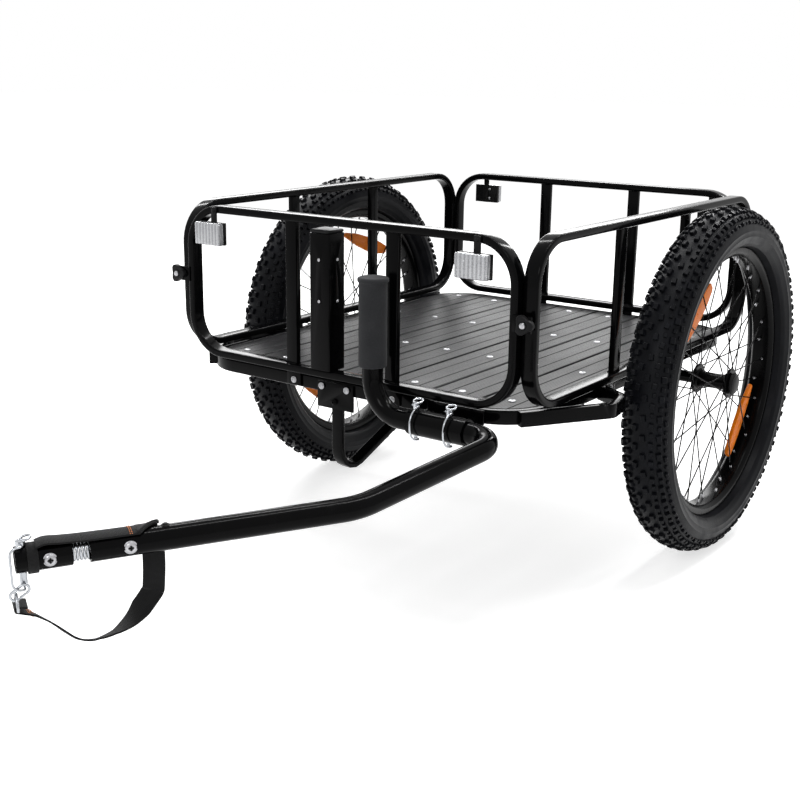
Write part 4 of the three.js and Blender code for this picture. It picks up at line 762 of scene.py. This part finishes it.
def makeHeadTube():
    rim, bore = arm["radius"], head["bore"]
    start, end = spring["halfGap"], head["end"]
    floor, mouth = start + spring["bore"], end - head["mouth"]
    profile = [(floor, 0), (floor, bore), (start, bore), (start, rim - 0.6), (start + 0.6, rim),
               (end - 0.7, rim), (end, rim - 0.6), (end, bore + 0.4), (end - 0.5, bore), (mouth, bore),
               (mouth, 0)]
    tube = lathed(profile, 64)
    done(moved(tube, hitchFrame), "headTube", framePaint, "hitch_head", ("hitch_tube",))
    bolt = makeBolt(bigBolt["radius"], bigBolt["height"], bigBolt["washer"])
    long, wide = bigBolt["slotLong"], bigBolt["slotWide"]
    for name, place, body in (("headBolts", head["bolt"], "hitch_head"), ("armBolts", arm["bolt"], "frame")):
        seat = arm["radius"] - bigBolt["sunk"]
        pair = [copied(bolt, hitchFrame @ at(place, side * seat, 0) @ facing[way])
                for side, way in ((1, "+y"), (-1, "-y"))]
        done(joined(pair), name, zinc, body)
        slots = [block((length, 1.0, width), (place, side * (seat + bigBolt["height"]), 0), 0.15, 1)
                 for side in (1, -1) for length, width in ((long, wide), (wide, long))]
        for slot in slots:
            moved(slot, hitchFrame)
        done(joined(slots), name + "Slots", mouldedPlastic, body)
    bpy.data.objects.remove(bolt)


pinHead = {"wall": 1.2, "wire": 1.3, "ring": 6.5, "ringWire": 1.4, "tilt": 14, "bend": 2.4}
hitchPin = {"radius": 4, "below": 2.8, "drop": 48}
lockPin = {"radius": 3, "below": 4.5, "drop": 45.6, "pivot": 22.8,
           "places": ((157.5, "lock_bail_a"), (211, "lock_bail_b"))}


# A snap pin with its pull ring, its origin on the bail's pivot
def snapPin(pin):
    radius, below, drop = pin["radius"], pin["below"], pin["drop"]
    wide = radius + pinHead["wall"]
    top = pinHead["wire"] + 0.3 + pinHead["wall"] + pinHead["ringWire"]
    tip = -drop + pinHead["wire"] + 0.3
    profile = [(tip, 0), (tip, radius - 0.9), (tip + 1.2, radius), (-below, radius), (-below, wide - 0.3),
               (-below + 0.4, wide), (top - 0.9, wide), (top, wide - 0.9), (top, 0)]
    body = moved(lathed(profile, 28), turned(-90, "Y"))
    cleared()
    bpy.ops.mesh.primitive_torus_add(major_radius=pinHead["ring"], minor_radius=pinHead["ringWire"],
                                     major_segments=36, minor_segments=12)
    place = at(0, 0, top) @ turned(pinHead["tilt"], "Y") @ at(-pinHead["ring"] + wide / 3, 0, 0)
    return joined([body, moved(settled(), place)])


# Its wire bail: out of the pin's head, aside, ahead, down, back and into the pin's tip
def snapBail(pin, ahead, offset, corner):
    shape = {"radius": pinHead["wire"], "sides": 12}
    start = -(pin["radius"] + pinHead["wall"] + 2)
    drop, bend = pin["drop"], pinHead["bend"]
    corners = [(0, start, 0), (0, offset, 0), (ahead, offset, 0), (ahead, offset, -drop), (0, offset, -drop),
               (0, -2, -drop)]
    return bentTube(shape, corners, (bend, corner, corner, bend), up=(0.3, 0.2, 1), steps=8)


def makePins():
    pivot = hitchFrame @ at(head["pin"], 0, head["pivot"])
    done(moved(snapPin(hitchPin), pivot), "hitchSnapPin", chrome, "hitch_head", ("hitch_pin",))
    bail = moved(snapBail(hitchPin, 12.5, 11.5, 9), pivot)
    done(bail, "hitchBailWire", chrome, "pin_bail", ("hitch_bail",))
    for number, (place, body) in enumerate(lockPin["places"], 1):
        pivot = at(place, arm["ahead"], arm["low"] + lockPin["pivot"]) @ turned(-90, "Z")
        pin = moved(snapPin(lockPin), pivot)
        done(pin, f"lockPin{number}", chrome, "frame", (f"lock_pin_{number}",))
        bail = moved(snapBail(lockPin, lockPin["pivot"], 6.1, 19.8), pivot)
        done(bail, f"lockBailWire{number}", chrome, body, (f"lock_bail_{number}",))


dRing = {"half": 15.1, "height": 17, "wire": 1.6, "bowSteps": 28, "barSteps": 9}


def makeHook():
    curlX, curlZ = strap["curl"]
    turns = [pi * i / dRing["bowSteps"] for i in range(dRing["bowSteps"] + 1)]
    outline = [(dRing["half"] * cos(turn), dRing["height"] * sin(turn)) for turn in turns]
    points = [hitchFrame @ Vector((curlX, y, curlZ + z)) for y, z in outline]
    points += [points[-1].lerp(points[0], i / dRing["barSteps"]) for i in range(1, dRing["barSteps"])]
    ring = wire(points, dRing["wire"], closed=True)
    done(ring, "strapDRing", chrome, "hook", ("strap_ring",))
    done(eased("snap_hook", 0.9, 3), "hookLink", chrome, "hook", ("snap_hook",), 40)
    done(eased("snap_gate", 0.5, 2), "hookGate", chrome, "gate", ("snap_gate",), 40)


makeSpring()
makeHeadTube()
makePins()
makeHook()
print("hitch made")

# Tow arm, grip and receiver


def makeArm():
    corners = [(arm["handle"], arm["ahead"], arm["top"]), (arm["handle"], arm["ahead"], arm["low"]),
               (arm["elbow"], arm["ahead"], arm["low"]), arm["knee"], arm["end"]]
    tube = bentTube({"radius": arm["radius"], "sides": 40}, corners, arm["bends"], up=(0.2, 1, 0.1), steps=18)
    edit(tube)
    pickFaces(tube, lambda normal: normal.dot(armHeading) > 0.99)  # the end by the spring
    bpy.ops.mesh.inset(thickness=arm["radius"] - head["bore"])
    bpy.ops.mesh.extrude_region_move(TRANSFORM_OT_translate={"value": -armHeading * spring["bore"]})
    leave()
    done(tube, "towArm", framePaint, "frame", ("tow_arm",), 40)
    button = lathed([(-1.2, 0), (-1.2, 5), (0.2, 5), (0.9, 4.2), (0.9, 3.4), (1.9, 2.9), (2.4, 1.8),
                     (2.6, 0)], 24)
    moved(button, hitchFrame @ at(arm["button"], 0, arm["radius"]) @ facing["+z"])
    done(button, "armButton", mouldedPlastic, "frame")


grip = {"radius": 19.5, "length": 123, "bore": 14.8, "crown": 5, "ripples": 8, "ripple": 13}


def makeGrip():
    top = arm["top"] + grip["crown"]
    low = top - grip["length"]
    radius = grip["radius"]
    profile = [(low, grip["bore"]), (low, radius - 1.4), (low + 0.6, radius - 0.4), (low + 2, radius)]
    for i in range(1, grip["ripples"] + 1):  # the foam isn't quite even
        profile.append((low + 2 + grip["ripple"] * i, radius + 0.18 * sin(2.1 * i)))
    profile += [(top - 8, radius), (top - 7, radius + 0.4), (top - 6, radius + 1.6), (top - 4.5, radius + 2),
                (top - 2.5, radius + 1.9), (top - 1, radius + 1), (top - 0.2, radius - 1), (top, radius - 4),
                (top, 0)]
    pad = moved(lathed(profile, 72), at(arm["handle"], arm["ahead"], 0) @ turned(-90, "Y"))
    piece = done(pad, "foamGrip", gripFoam, "frame", ("hand_grip",), 60)


receiver = {"start": 150, "end": 241, "clear": 0.3, "wall": 3.2, "webInset": 10, "web": (5, 24, 26),
            "webPlace": -491.5, "plate": (3, 20), "platePlace": (-479.8, 298)}


def makeReceiver():
    start, end = receiver["start"], receiver["end"]
    inner = arm["radius"] + receiver["clear"]
    outer = inner + receiver["wall"]
    profile = [(start, inner), (start, outer - 0.5), (start + 0.5, outer), (end - 0.5, outer),
               (end, outer - 0.5), (end, inner), (start, inner)]
    sleeve = moved(lathed(profile, 72), at(0, arm["ahead"], arm["low"]))
    middle = (start + end) / 2
    parts = [sleeve, block((end - start, *receiver["plate"]), (middle, *receiver["platePlace"]), 0.6)]
    for x in (start + receiver["webInset"], end - receiver["webInset"]):
        parts.append(block(receiver["web"], (x, receiver["webPlace"], arm["low"]), 0.5))
    done(joined(parts), "armReceiver", framePaint, "frame", ("receiver_sleeve",))


makeArm()
makeGrip()
makeReceiver()
print("tow arm made")

# Base frame, planks and railing panels

wheel = {"place": 366, "height": 273, "steps": 120}
base = {"half": 297, "front": -478, "rear": 240, "bottom": 288, "wide": 11.5, "tall": 20, "corner": 80,
        "edge": 2.6, "rows": (-414, -212.5, -10.7, 191), "barWide": 22, "barTall": 12, "barTop": 297.7,
        "saddle": (6.5, 26, 34), "saddleTop": 70, "axleBolt": 32}
panel = {"wide": 11.2, "deep": 22, "bottom": 312, "top": 543, "bend": 64, "edge": 3.0, "front": -481,
         "rear": 248.5, "side": 303.5, "sideFront": -479.6, "sideRear": 247.1, "endHalf": 292.2, "bars": 90,
         "sideBars": (-230, -12), "bar": (20, 9), "tab": (26, 3, 27.6), "tabHeight": 303.8, "tabOut": 1.8,
         "boltHeight": 298, "boltOut": 3.3, "latch": (28, 3, 22), "latchPlace": 301, "latchBack": 11.5}
barTall = panel["top"] - panel["bottom"] - panel["wide"]
barMiddle = (panel["bottom"] + panel["top"]) / 2


def closedLoop(shape, low, high, bend, level, up):  # a ring of tube in the plane square to up
    inset = shape["wide"] / 2
    (x0, y0), (x1, y1) = (low[0] + inset, low[1] + inset), (high[0] - inset, high[1] - inset)
    flat = [(x1, (y0 + y1) / 2), (x1, y1), (x0, y1), (x0, y0), (x1, y0), (x1, (y0 + y1) / 2)]
    corners = [level(a, b) for a, b in flat]
    return bentTube(shape, corners, (bend - inset,) * 4, up=up, closed=True, steps=12)


def weldBead(length, place, radius=1.6):  # a rippled weld along X
    profile = [(-length / 2, 0)]
    count = round(length / 1.5)
    for i in range(count):
        along = -length / 2 + length * (i + 0.5) / count
        profile += [(along - 0.35, radius), (along + 0.35, radius * 0.82)]
    return moved(lathed(profile + [(length / 2, 0)], 10), at(*place))


def makeBase():
    shape = {"wide": base["wide"], "tall": base["tall"], "edge": base["edge"], "steps": 4}
    level = base["bottom"] + base["tall"] / 2
    low, high = (-base["half"], base["front"]), (base["half"], base["rear"])
    parts = [closedLoop(shape, low, high, base["corner"], lambda x, y: (x, y, level), (0, 0, 1))]
    length = 2 * (base["half"] - base["wide"]) + 2
    barBottom = base["barTop"] - base["barTall"]
    for row in base["rows"]:
        size = (length, base["barWide"], base["barTall"])
        parts.append(block(size, (0, row, barBottom + base["barTall"] / 2), 1.5))
        for side in (-1, 1):
            for along in (-1, 1):
                place = (side * (length / 2 - 1.4), row + along * 9, barBottom + 0.4)
                parts.append(weldBead(5, place, 1.3))
    for side in (-1, 1):
        x = side * (base["half"] - base["wide"] / 2)
        saddle = rawBlock(base["saddle"], (x, 0, wheel["height"]))
        edit(saddle)
        pickFaces(saddle, lambda normal: normal.z > 0.5)
        wider = base["saddleTop"] / base["saddle"][1]
        bpy.ops.transform.resize(value=(1, wider, 1), center_override=(x, 0, wheel["height"]))
        bpy.ops.mesh.select_all(action="SELECT")
        bpy.ops.mesh.bevel(offset=1.2, segments=2, affect="EDGES")
        leave()
        parts.append(saddle)
    done(joined(parts), "baseFrame", framePaint, "frame", ("base_frame",))
    places = [(("+x" if side > 0 else "-x"), side * base["half"], along * base["axleBolt"], level)
              for side in (-1, 1) for along in (-1, 1)]
    done(boltsAt(places), "axleBolts", zinc, "frame")


def panelLoop(low, high, plane, flip):
    shape = {"wide": panel["wide"], "tall": panel["deep"], "edge": panel["edge"], "steps": 5}
    place = (lambda a, b: (plane, a, b)) if flip else (lambda a, b: (a, plane, b))
    up = (1, 0, 0) if flip else (0, 1, 0)
    return closedLoop(shape, (low, panel["bottom"]), (high, panel["top"]), panel["bend"], place, up)


# An upright bar, its bolted tab and the welds at its ends, as for a bar of the front panel at the middle
def makeBar(tabPlace):
    tab = block(panel["tab"], (0, tabPlace, panel["tabHeight"]), 0.7)
    parts = [block((*panel["bar"], barTall), (0, 0, barMiddle), 1.3, 3), tab]
    for height in (panel["bottom"] + panel["wide"] + 0.2, panel["top"] - panel["wide"] - 0.2):
        for across in (-4.6, 4.6):
            parts.append(weldBead(19, (0, across, height), 1.5))
    return joined(parts)


knob = {"height": 435, "stud": 307}


def makeEndPanel(end, plane, rail, way):
    parts = [panelLoop(-panel["endHalf"], panel["endHalf"], plane, False)]
    for side in (-1, 1):
        bar = makeBar(rail + way * panel["tabOut"] - plane)
        parts.append(moved(bar, at(side * panel["bars"], plane, 0)))
        place = (side * panel["latchPlace"], plane + way * panel["latchBack"], knob["height"])
        parts.append(block(panel["latch"], place, 0.6))
    done(joined(parts), f"{end}Panel", framePaint, "frame", (f"{end}_panel",))
    bolt = rail + way * panel["boltOut"], panel["boltHeight"]
    places = [("-y" if way < 0 else "+y", side * panel["bars"], *bolt) for side in (-1, 1)]
    done(boltsAt(places), f"{end}PanelBolts", zinc, "frame")


def makeSidePanel(hand, side):
    x = side * panel["side"]
    studs = []
    parts = [panelLoop(panel["sideFront"], panel["sideRear"], x, True)]
    for y in panel["sideBars"]:
        bar = makeBar(side * (panel["side"] - base["half"] - panel["tabOut"]))
        parts.append(moved(bar, at(x, y, 0) @ turned(90, "Z")))
    for y, way in ((panel["sideFront"], "-y"), (panel["sideRear"], "+y")):
        reach = at(side * knob["stud"], y, knob["height"]) @ facing[way]
        parts.append(moved(lathed([(-1, 0), (-1, 6), (1.1, 6), (1.1, 0)], 28), reach))
        pin = lathed([(0.5, 0), (0.5, 4), (23.6, 4), (24.8, 3.1), (25.2, 1.6), (25.2, 0)], 28)
        studs.append(moved(pin, reach))
    done(joined(parts), f"{hand}Panel", framePaint, "frame", (f"{hand}_panel",))
    out = side * (base["half"] + panel["boltOut"])
    places = [("+x" if side > 0 else "-x", out, y, panel["boltHeight"]) for y in panel["sideBars"]]
    done(joined([boltsAt(places), *studs]), f"{hand}PanelBolts", zinc, "frame")


plank = {"count": 7, "gap": 0.3, "top": 308}


def makeFloor():
    for i in range(plank["count"]):
        board = frame["nodes"][f"floor_plank_{i + 1}"]
        board.data.materials.clear()
        board.data.materials.append(plankFinish)
    pitch = 2 * (base["half"] - base["wide"] - plank["gap"]) / plank["count"]
    screw = lathed([(-0.5, 0), (-0.5, 5.2), (0.7, 5.2), (1.3, 4.6), (1.75, 3), (1.9, 1.7), (0.9, 1.4),
                    (0.9, 0)], 20)
    screws = []
    for i in range(plank["count"]):
        x = (i - (plank["count"] - 1) / 2) * pitch
        screws += [copied(screw, at(x, row, plank["top"]) @ facing["+z"]) for row in base["rows"]]
    bpy.data.objects.remove(screw)
    done(joined(screws), "floorScrews", zinc, "frame")


makeBase()
makeEndPanel("front", panel["front"], base["front"], -1)
makeEndPanel("rear", panel["rear"], base["rear"], 1)
makeSidePanel("left", 1)
makeSidePanel("right", -1)
makeFloor()
print("base, floor and panels made")

# Post, guards, stand and small fittings


fitting = {"stand": -12, "standFace": -484.3, "standBolts": 23, "standLow": 277, "postScrews": (424, 483),
           "postFaces": (("-y", -30, -494), ("+x", -12, -476)), "lensScrews": (495, 512), "lens": 232,
           "lensShift": 8, "lensFaces": (("-y", 259.8), ("+y", -492.3))}
axle = {"beam": 334.2, "radius": 9, "edge": 0.6, "end": 395.2, "endRadius": 6}


def makeFittings():
    post = eased("front_post", 0.5, 2, 60)
    done(post, "frontPost", framePaint, "frame", ("front_post",), 50)
    done(eased("post_cap", 0.8, 3), "postCap", mouldedPlastic, "frame", ("post_cap",), 50)
    for hand in ("left", "right"):
        guard = eased(f"wheel_guard_{hand}", 2.0, 3, 50)
        done(guard, f"{hand}Guard", framePaint, "frame", (f"wheel_guard_{hand}",), 50)
    done(eased("stand", 1.6, 3, 50), "frontStand", framePaint, "frame", ("stand",), 50)
    plate = eased("stand_bracket", 0.6, 2)
    done(plate, "standBracket", framePaint, "frame", ("stand_bracket",))
    stand, face = fitting["stand"], fitting["standFace"]
    places = [("-y", stand + side * fitting["standBolts"], face, panel["boltHeight"]) for side in (-1, 1)]
    done(boltsAt(places), "standBolts", zinc, "frame")
    low = boltsAt([("-y", stand, face, fitting["standLow"])])
    done(low, "standLowBolt", framePaint, "frame")
    screw = lathed([(-0.4, 0), (-0.4, 2.7), (0.5, 2.6), (1.3, 1.9), (1.6, 0.9), (1.2, 0.6), (1.2, 0)], 16)
    places = [(*face, height) for height in fitting["postScrews"] for face in fitting["postFaces"]]
    done(boltsAt(places, screw), "postScrews", zinc, "frame")
    places = []
    for way, y in fitting["lensFaces"]:
        for side in (-1, 1):
            x = side * fitting["lens"] + fitting["lensShift"]
            places += [(way, x, y, height) for height in fitting["lensScrews"]]
    done(boltsAt(places, screw), "reflectorScrews", zinc, "frame")
    bpy.data.objects.remove(screw)
    for end in ("front", "rear"):
        for hand in ("left", "right"):
            tag = f"{end}{hand.title()}"
            node = f"corner_knob_{end}_{hand}"
            body = f"knob_{end}_{hand}"
            done(eased(node, 1.6, 4, 40), f"{tag}Knob", mouldedPlastic, body, (node,), 50)
            node = f"reflector_bracket_{end}_{hand}"
            done(eased(node, 0.5, 2), f"{tag}Bracket", mouldedPlastic, "frame", (node,))
            node = f"reflector_{end}_{hand}"
            done(boxed(node, 2.6, 4), f"{tag}Lens", clearLens, "frame", (node,), 50)
    half, radius, edge = axle["beam"], axle["radius"], axle["edge"]
    beam = lathed([(-half, 0), (-half, radius - edge), (edge - half, radius), (half - edge, radius),
                   (half, radius - edge), (half, 0)], 48)
    half, radius = axle["end"], axle["endRadius"]
    stubs = lathed([(-half, 0), (-half, radius), (half, radius), (half, 0)], 32)
    whole = moved(joined([beam, stubs]), at(0, 0, wheel["height"]))
    done(whole, "axleBeam", framePaint, "frame", ("axle",))


makeFittings()
print("fittings made")

# Wheels, modelled round the axle's line with the outboard side towards +X

tyre = {"section": 236, "half": 36.6, "depth": 32, "wall": 3.2, "end": -42, "knobs": 58}
rim = {"inner": 197, "seat": 204.3}
hub = {"inboard": -31.5, "outboard": 29.5, "bore": 6.3, "barrel": 12.5, "end": 15, "flange": 23,
       "flangeHalf": 2.1, "holes": 20.3, "spokes": 36, "spoke": 1.0, "elbow": 3.2, "lace": 60, "weave": 2.1,
       "offset": 3}


# On the tyre's oval section: how far across and out, and the outward direction there
def tyrePoint(degrees, lift=0.0):
    angle = radians(degrees)
    across, out = tyre["half"] * cos(angle), tyre["section"] + tyre["depth"] * sin(angle)
    normal = Vector((cos(angle) / tyre["half"], sin(angle) / tyre["depth"])).normalized()
    return across + normal.x * lift, out + normal.y * lift, normal


def makeCasing():
    profile = [(15.5, rim["seat"]), (15.5, 211.6)]
    sweep = 180 - 2 * tyre["end"]
    steps = 52
    for i in range(steps + 1):
        degrees = tyre["end"] + sweep * i / steps
        flank = min(abs(degrees - mark) for mark in (-30, -14, 6, 174, 194, 210))
        across, out, normal = tyrePoint(degrees, 0.7 if flank < 2.6 else 0)
        profile.append((across, out))
    profile += [(-15.5, 211.6), (-15.5, rim["seat"]), (-11.5, rim["seat"]), (-11.5, 215)]
    for i in range(13):
        across, out, normal = tyrePoint(180 - tyre["end"] - sweep * i / 12, -tyre["wall"])
        profile.append((across, out))
    profile += [(11.5, 215), (11.5, rim["seat"]), (15.5, rim["seat"])]
    return lathed(profile, wheel["steps"])


# A tread block on the section at an angle, so far round the wheel, wide across and long round
def treadKnob(degrees, turn, wide, long, high, slant=0.0):
    root = 1.2  # sunk into the casing
    thing = rawBlock((wide, long, high + root), (0, 0, (high - root) / 2))
    edit(thing)
    pickFaces(thing, lambda normal: normal.z > 0.5)
    bpy.ops.transform.resize(value=(0.84, 0.86, 1), center_override=(0, 0, high))
    bpy.ops.mesh.bevel(offset=0.55, segments=1, affect="EDGES")
    leave()
    across, out, normal = tyrePoint(degrees)
    outward, onward = Vector((normal.x, 0, normal.y)), Vector((0, 1, 0))
    basis = Matrix((onward.cross(outward), onward, outward)).transposed().to_4x4()
    place = at(across, 0, out) @ basis @ turned(slant, "Z")
    return moved(thing, turned(turn, "X") @ place)


def makeTyre():
    pitch = 360 / tyre["knobs"]
    rows = []
    for side in (-1, 1):
        stagger = 0 if side < 0 else pitch / 2
        rows += [
            treadKnob(90 - side * 9, stagger, 7.6, 9.6, 4.6, side * 7),
            treadKnob(90 - side * 26, stagger + pitch * 0.36, 7.4, 8.6, 4.8, side * -9),
            treadKnob(90 - side * 28, stagger + pitch * 0.82, 5.4, 6.4, 3.8),
            treadKnob(90 - side * 45, stagger, 8.2, 9.8, 5.0, side * 6),
            treadKnob(90 - side * 46, stagger + pitch / 2, 6.0, 7.0, 4.0),
            treadKnob(90 - side * 62, stagger + pitch * 0.25, 5.6, 9.0, 3.6, side * 10),
            treadKnob(90 - side * 63, stagger + pitch * 0.75, 4.4, 5.6, 2.6),
        ]
    knobs = ringOf(joined(rows), tyre["knobs"])
    return joined([makeCasing(), knobs])


def makeRim():
    half = [(15.8, rim["seat"]), (15.8, 210.4), (16.3, 211), (17.7, 211), (18.3, 210.4), (18.3, 204),
            (17.6, 202.4), (13.6, rim["inner"] + 0.6), (12.2, rim["inner"])]
    other = [(-across, out) for across, out in reversed(half)]
    return lathed(half + other + half[:1], wheel["steps"])


def spokeEnds(i):
    outboard = hub["outboard"] - 2 - hub["flangeHalf"]
    inboard = hub["inboard"] + 2 + hub["flangeHalf"]
    flange = outboard if i % 2 == 0 else inboard
    lace = 1 if (i // 2) % 2 == 0 else -1
    rimAngle = 2 * pi * i / hub["spokes"]
    hubAngle = rimAngle + lace * radians(hub["lace"])
    weave = lace * hub["weave"] / 2
    side = 1 if flange > 0 else -1
    reach = rim["inner"] - 0.4
    start = Vector((flange + weave, hub["holes"] * cos(hubAngle), hub["holes"] * sin(hubAngle)))
    end = Vector((side * hub["offset"] + weave, reach * cos(rimAngle), reach * sin(rimAngle)))
    return start, end, lace


def makeHub():
    inboard, outboard, end = hub["inboard"], hub["outboard"], hub["end"]
    wide, half, barrel = hub["flange"], hub["flangeHalf"], hub["barrel"]
    near, far = inboard + 2 + half, outboard - 2 - half
    profile = [(inboard, hub["bore"]), (inboard, end - 0.8), (inboard + 0.8, end), (near - half, end),
               (near - half, wide - 0.6), (near - 1.5, wide), (near + 1.5, wide), (near + half, wide - 0.6),
               (near + half, 16.5), (near + 4, 14), (near + 8, barrel), (0, barrel - 0.7), (far - 8, barrel),
               (far - 4, 14), (far - half, 16.5), (far - half, wide - 0.6), (far - 1.5, wide),
               (far + 1.5, wide), (far + half, wide - 0.6), (far + half, end), (outboard - 0.6, end),
               (outboard, end - 0.6), (outboard, hub["bore"]), (inboard, hub["bore"])]
    return lathed(profile, 64)


def rodBetween(bar, start, end, spare=0):  # a copy of a bar one millimetre long, stretched between the two
    run = end - start
    turn = Vector((0, 0, 1)).rotation_difference(run).to_matrix().to_4x4()
    middle = Matrix.Translation((start + end) / 2)
    return copied(bar, middle @ turn @ Matrix.Diagonal((1, 1, run.length + spare, 1)))


def makeSpokes():
    cleared()
    bpy.ops.mesh.primitive_cylinder_add(vertices=8, radius=hub["spoke"], depth=1)
    bar = settled()
    nipple = lathed([(-6.5, 0), (-6.5, 1.5), (-6, 1.9), (0.4, 1.9), (0.4, 0)], 10)
    spokes, nipples = [], []
    for i in range(hub["spokes"]):
        start, end, lace = spokeEnds(i)
        spokes.append(rodBetween(bar, start, end))
        bend = start + Vector((-lace * hub["elbow"], 0, 0))  # through the flange
        spokes.append(rodBetween(bar, start, bend, 1))
        aim = Vector((1, 0, 0)).rotation_difference(end - start).to_matrix().to_4x4()
        nipples.append(copied(nipple, Matrix.Translation(end) @ aim))
    bpy.data.objects.remove(bar)
    bpy.data.objects.remove(nipple)
    return joined(spokes), joined(nipples)


def makeHubCap():
    profile = [(0, 0), (0, 16.4), (0.5, 17), (2.4, 17), (3.2, 16.6), (4.6, 14.9), (5.3, 14), (5.2, 13.2),
               (5.6, 12.4), (6.3, 9), (6.8, 5), (7, 0)]
    return moved(lathed(profile, 56), at(hub["outboard"] + 0.3, 0, 0))


# Round the wheel, and out from its middle: blunt at one end and narrow at the other
spokeLens = {"middle": 152, "thickness": 6.4, "edge": 1.4, "left": (130, -37), "right": (72, -123)}
lensOutline = (
    (66, -2), (66, 3), (64, 5), (34, 10), (-10, 12), (-44, 10), (-63, 7), (-66, 4), (-66, -6), (-62, -9),
    (-38, -14), (-10, -15), (24, -12), (50, -6.5), (64, -3.5))


def makeSpokeLens():
    half = Vector((spokeLens["thickness"] / 2, 0, 0))
    points = [Vector((0, spokeLens["middle"] + out, along)) - half for along, out in lensOutline]
    thing = drawnLine(points)
    bpy.ops.mesh.edge_face_add()
    bpy.ops.mesh.extrude_region_move(TRANSFORM_OT_translate={"value": half * 2})
    bpy.ops.mesh.select_all(action="SELECT")
    bpy.ops.mesh.normals_make_consistent(inside=False)
    leave()
    return bevelled(thing, spokeLens["edge"], 3, 60)


def makeWheels():
    tyreModel, rimModel, hubModel, capModel = makeTyre(), makeRim(), makeHub(), makeHubCap()
    spokeModel, nippleModel = makeSpokes()
    lensModel = makeSpokeLens()
    models = [(tyreModel, "Tyre", tyreRubber, "tyre", "tyre", 32),
              (rimModel, "Rim", wheelPaint, "black_paint", "rim", 30),
              (hubModel, "Hub", wheelPaint, "black_paint", "hub", 30),
              (spokeModel, "Spokes", wheelPaint, "black_paint", "", 50),
              (nippleModel, "Nipples", zinc, "chrome", "", 50),
              (capModel, "HubCap", mouldedPlastic, "black_plastic", "hub_cap", 30)]
    for hand, side in (("left", 1), ("right", -1)):
        place = at(side * wheel["place"], 0, wheel["height"])
        for model, title, finish, slot, node, sharp in models:
            piece = copied(model, place if side > 0 else place @ mirror)
            stands = (f"{node}_{hand}",) if node else ()
            done(piece, f"{hand}{title}", finish, f"wheel_{hand}", stands, sharp)
        for number, degrees in enumerate(spokeLens[hand], 1):
            piece = copied(lensModel, place @ turned(degrees, "X"))
            node = f"spoke_reflector_{hand}_{number}"
            done(piece, f"{hand}SpokeLens{number}", orangeLens, f"wheel_{hand}", (node,), 40)
    bpy.data.objects.remove(lensModel)
    for model, *_ in models:
        bpy.data.objects.remove(model)


makeWheels()
bpy.data.objects.remove(boltModel)
print("wheels made")

# Floor, backdrop and light

studio = {"floor": 40, "drop": 0.0006, "paper": 0.72, "worldLight": 0.5, "glow": 0.66, "aim": (0, 0, 0.35)}
lamps = (  # name, place, direction of the long side, length, width, watts
    ("railStrip", (-1.5, 0.9, 2.5), (1, 0, 0), 2.4, 0.12, 38),
    ("sideStrip", (0.3, 2.5, 2.5), (0, 1, 0), 1.8, 0.12, 30),
    ("armStrip", (0.6, 0.2, 2.6), (0.53, 0.85, 0), 1.8, 0.12, 26),
    ("frontFill", (0.9, -3.2, 2.4), (1, 0, 0), 1.3, 0.8, 24),
    ("lowBackGlow", (-1.9, 2.6, 1.5), (0.8, 0.6, 0), 2.4, 0.9, 42),
)


def seenDirectly(tree):  # 1 for rays from the camera, from metal and through glass, and 0 for the rest
    rays = tree.nodes.new("ShaderNodeLightPath")
    seen = rays.outputs["Is Camera Ray"]
    for name in ("Is Glossy Ray", "Is Transmission Ray"):
        most = tree.nodes.new("ShaderNodeMath")
        most.operation = "MAXIMUM"
        tree.links.new(seen, most.inputs[0])
        tree.links.new(rays.outputs[name], most.inputs[1])
        seen = most.outputs[0]
    return seen


def makeStage():
    cleared()
    bpy.ops.mesh.primitive_plane_add(size=studio["floor"], location=(0, 0, -studio["drop"]))
    ground = settled()
    ground.name = "studioFloor"
    matt = {"Roughness": 0.95, "Specular IOR Level": 0.0, "Emission Color": (1, 1, 1, 1)}
    paper = Finish("studioPaper", matt)
    shade = studio["paper"]
    tone = paper.colours(paper.noise(4, 2), [shade] * 3, [shade + 0.02] * 3)
    ground.data.materials.append(paper.wear(tone))
    glow = Value(paper, seenDirectly(paper.tree)) * studio["glow"]
    paper.join(paper.shader.inputs["Emission Strength"], glow)
    world = bpy.data.worlds.new("studioWorld")
    bpy.context.scene.world = world
    world.use_nodes = True
    tree = world.node_tree
    level = tree.nodes.new("ShaderNodeMapRange")
    level.inputs["To Min"].default_value = studio["worldLight"]
    level.inputs["To Max"].default_value = 1.0
    tree.links.new(seenDirectly(tree), level.inputs["Value"])
    backdrop = tree.nodes["Background"]
    backdrop.inputs["Color"].default_value = (1, 1, 1, 1)
    tree.links.new(level.outputs["Result"], backdrop.inputs["Strength"])
    for name, place, along, length, width, watts in lamps:
        data = bpy.data.lights.new(name, "AREA")
        data.shape, data.size, data.size_y, data.energy = "RECTANGLE", length, width, watts
        lamp = bpy.data.objects.new(name, data)
        bpy.context.scene.collection.objects.link(lamp)
        back = (Vector(place) - Vector(studio["aim"])).normalized()
        side = back.cross(Vector(along)).normalized()
        turn = Matrix((side.cross(back), side, back)).transposed().to_4x4()
        lamp.matrix_world = Matrix.Translation(place) @ turn
        lamp.visible_camera = False
    bpy.context.scene.view_settings.view_transform = "Standard"


makeStage()
print("stage made")
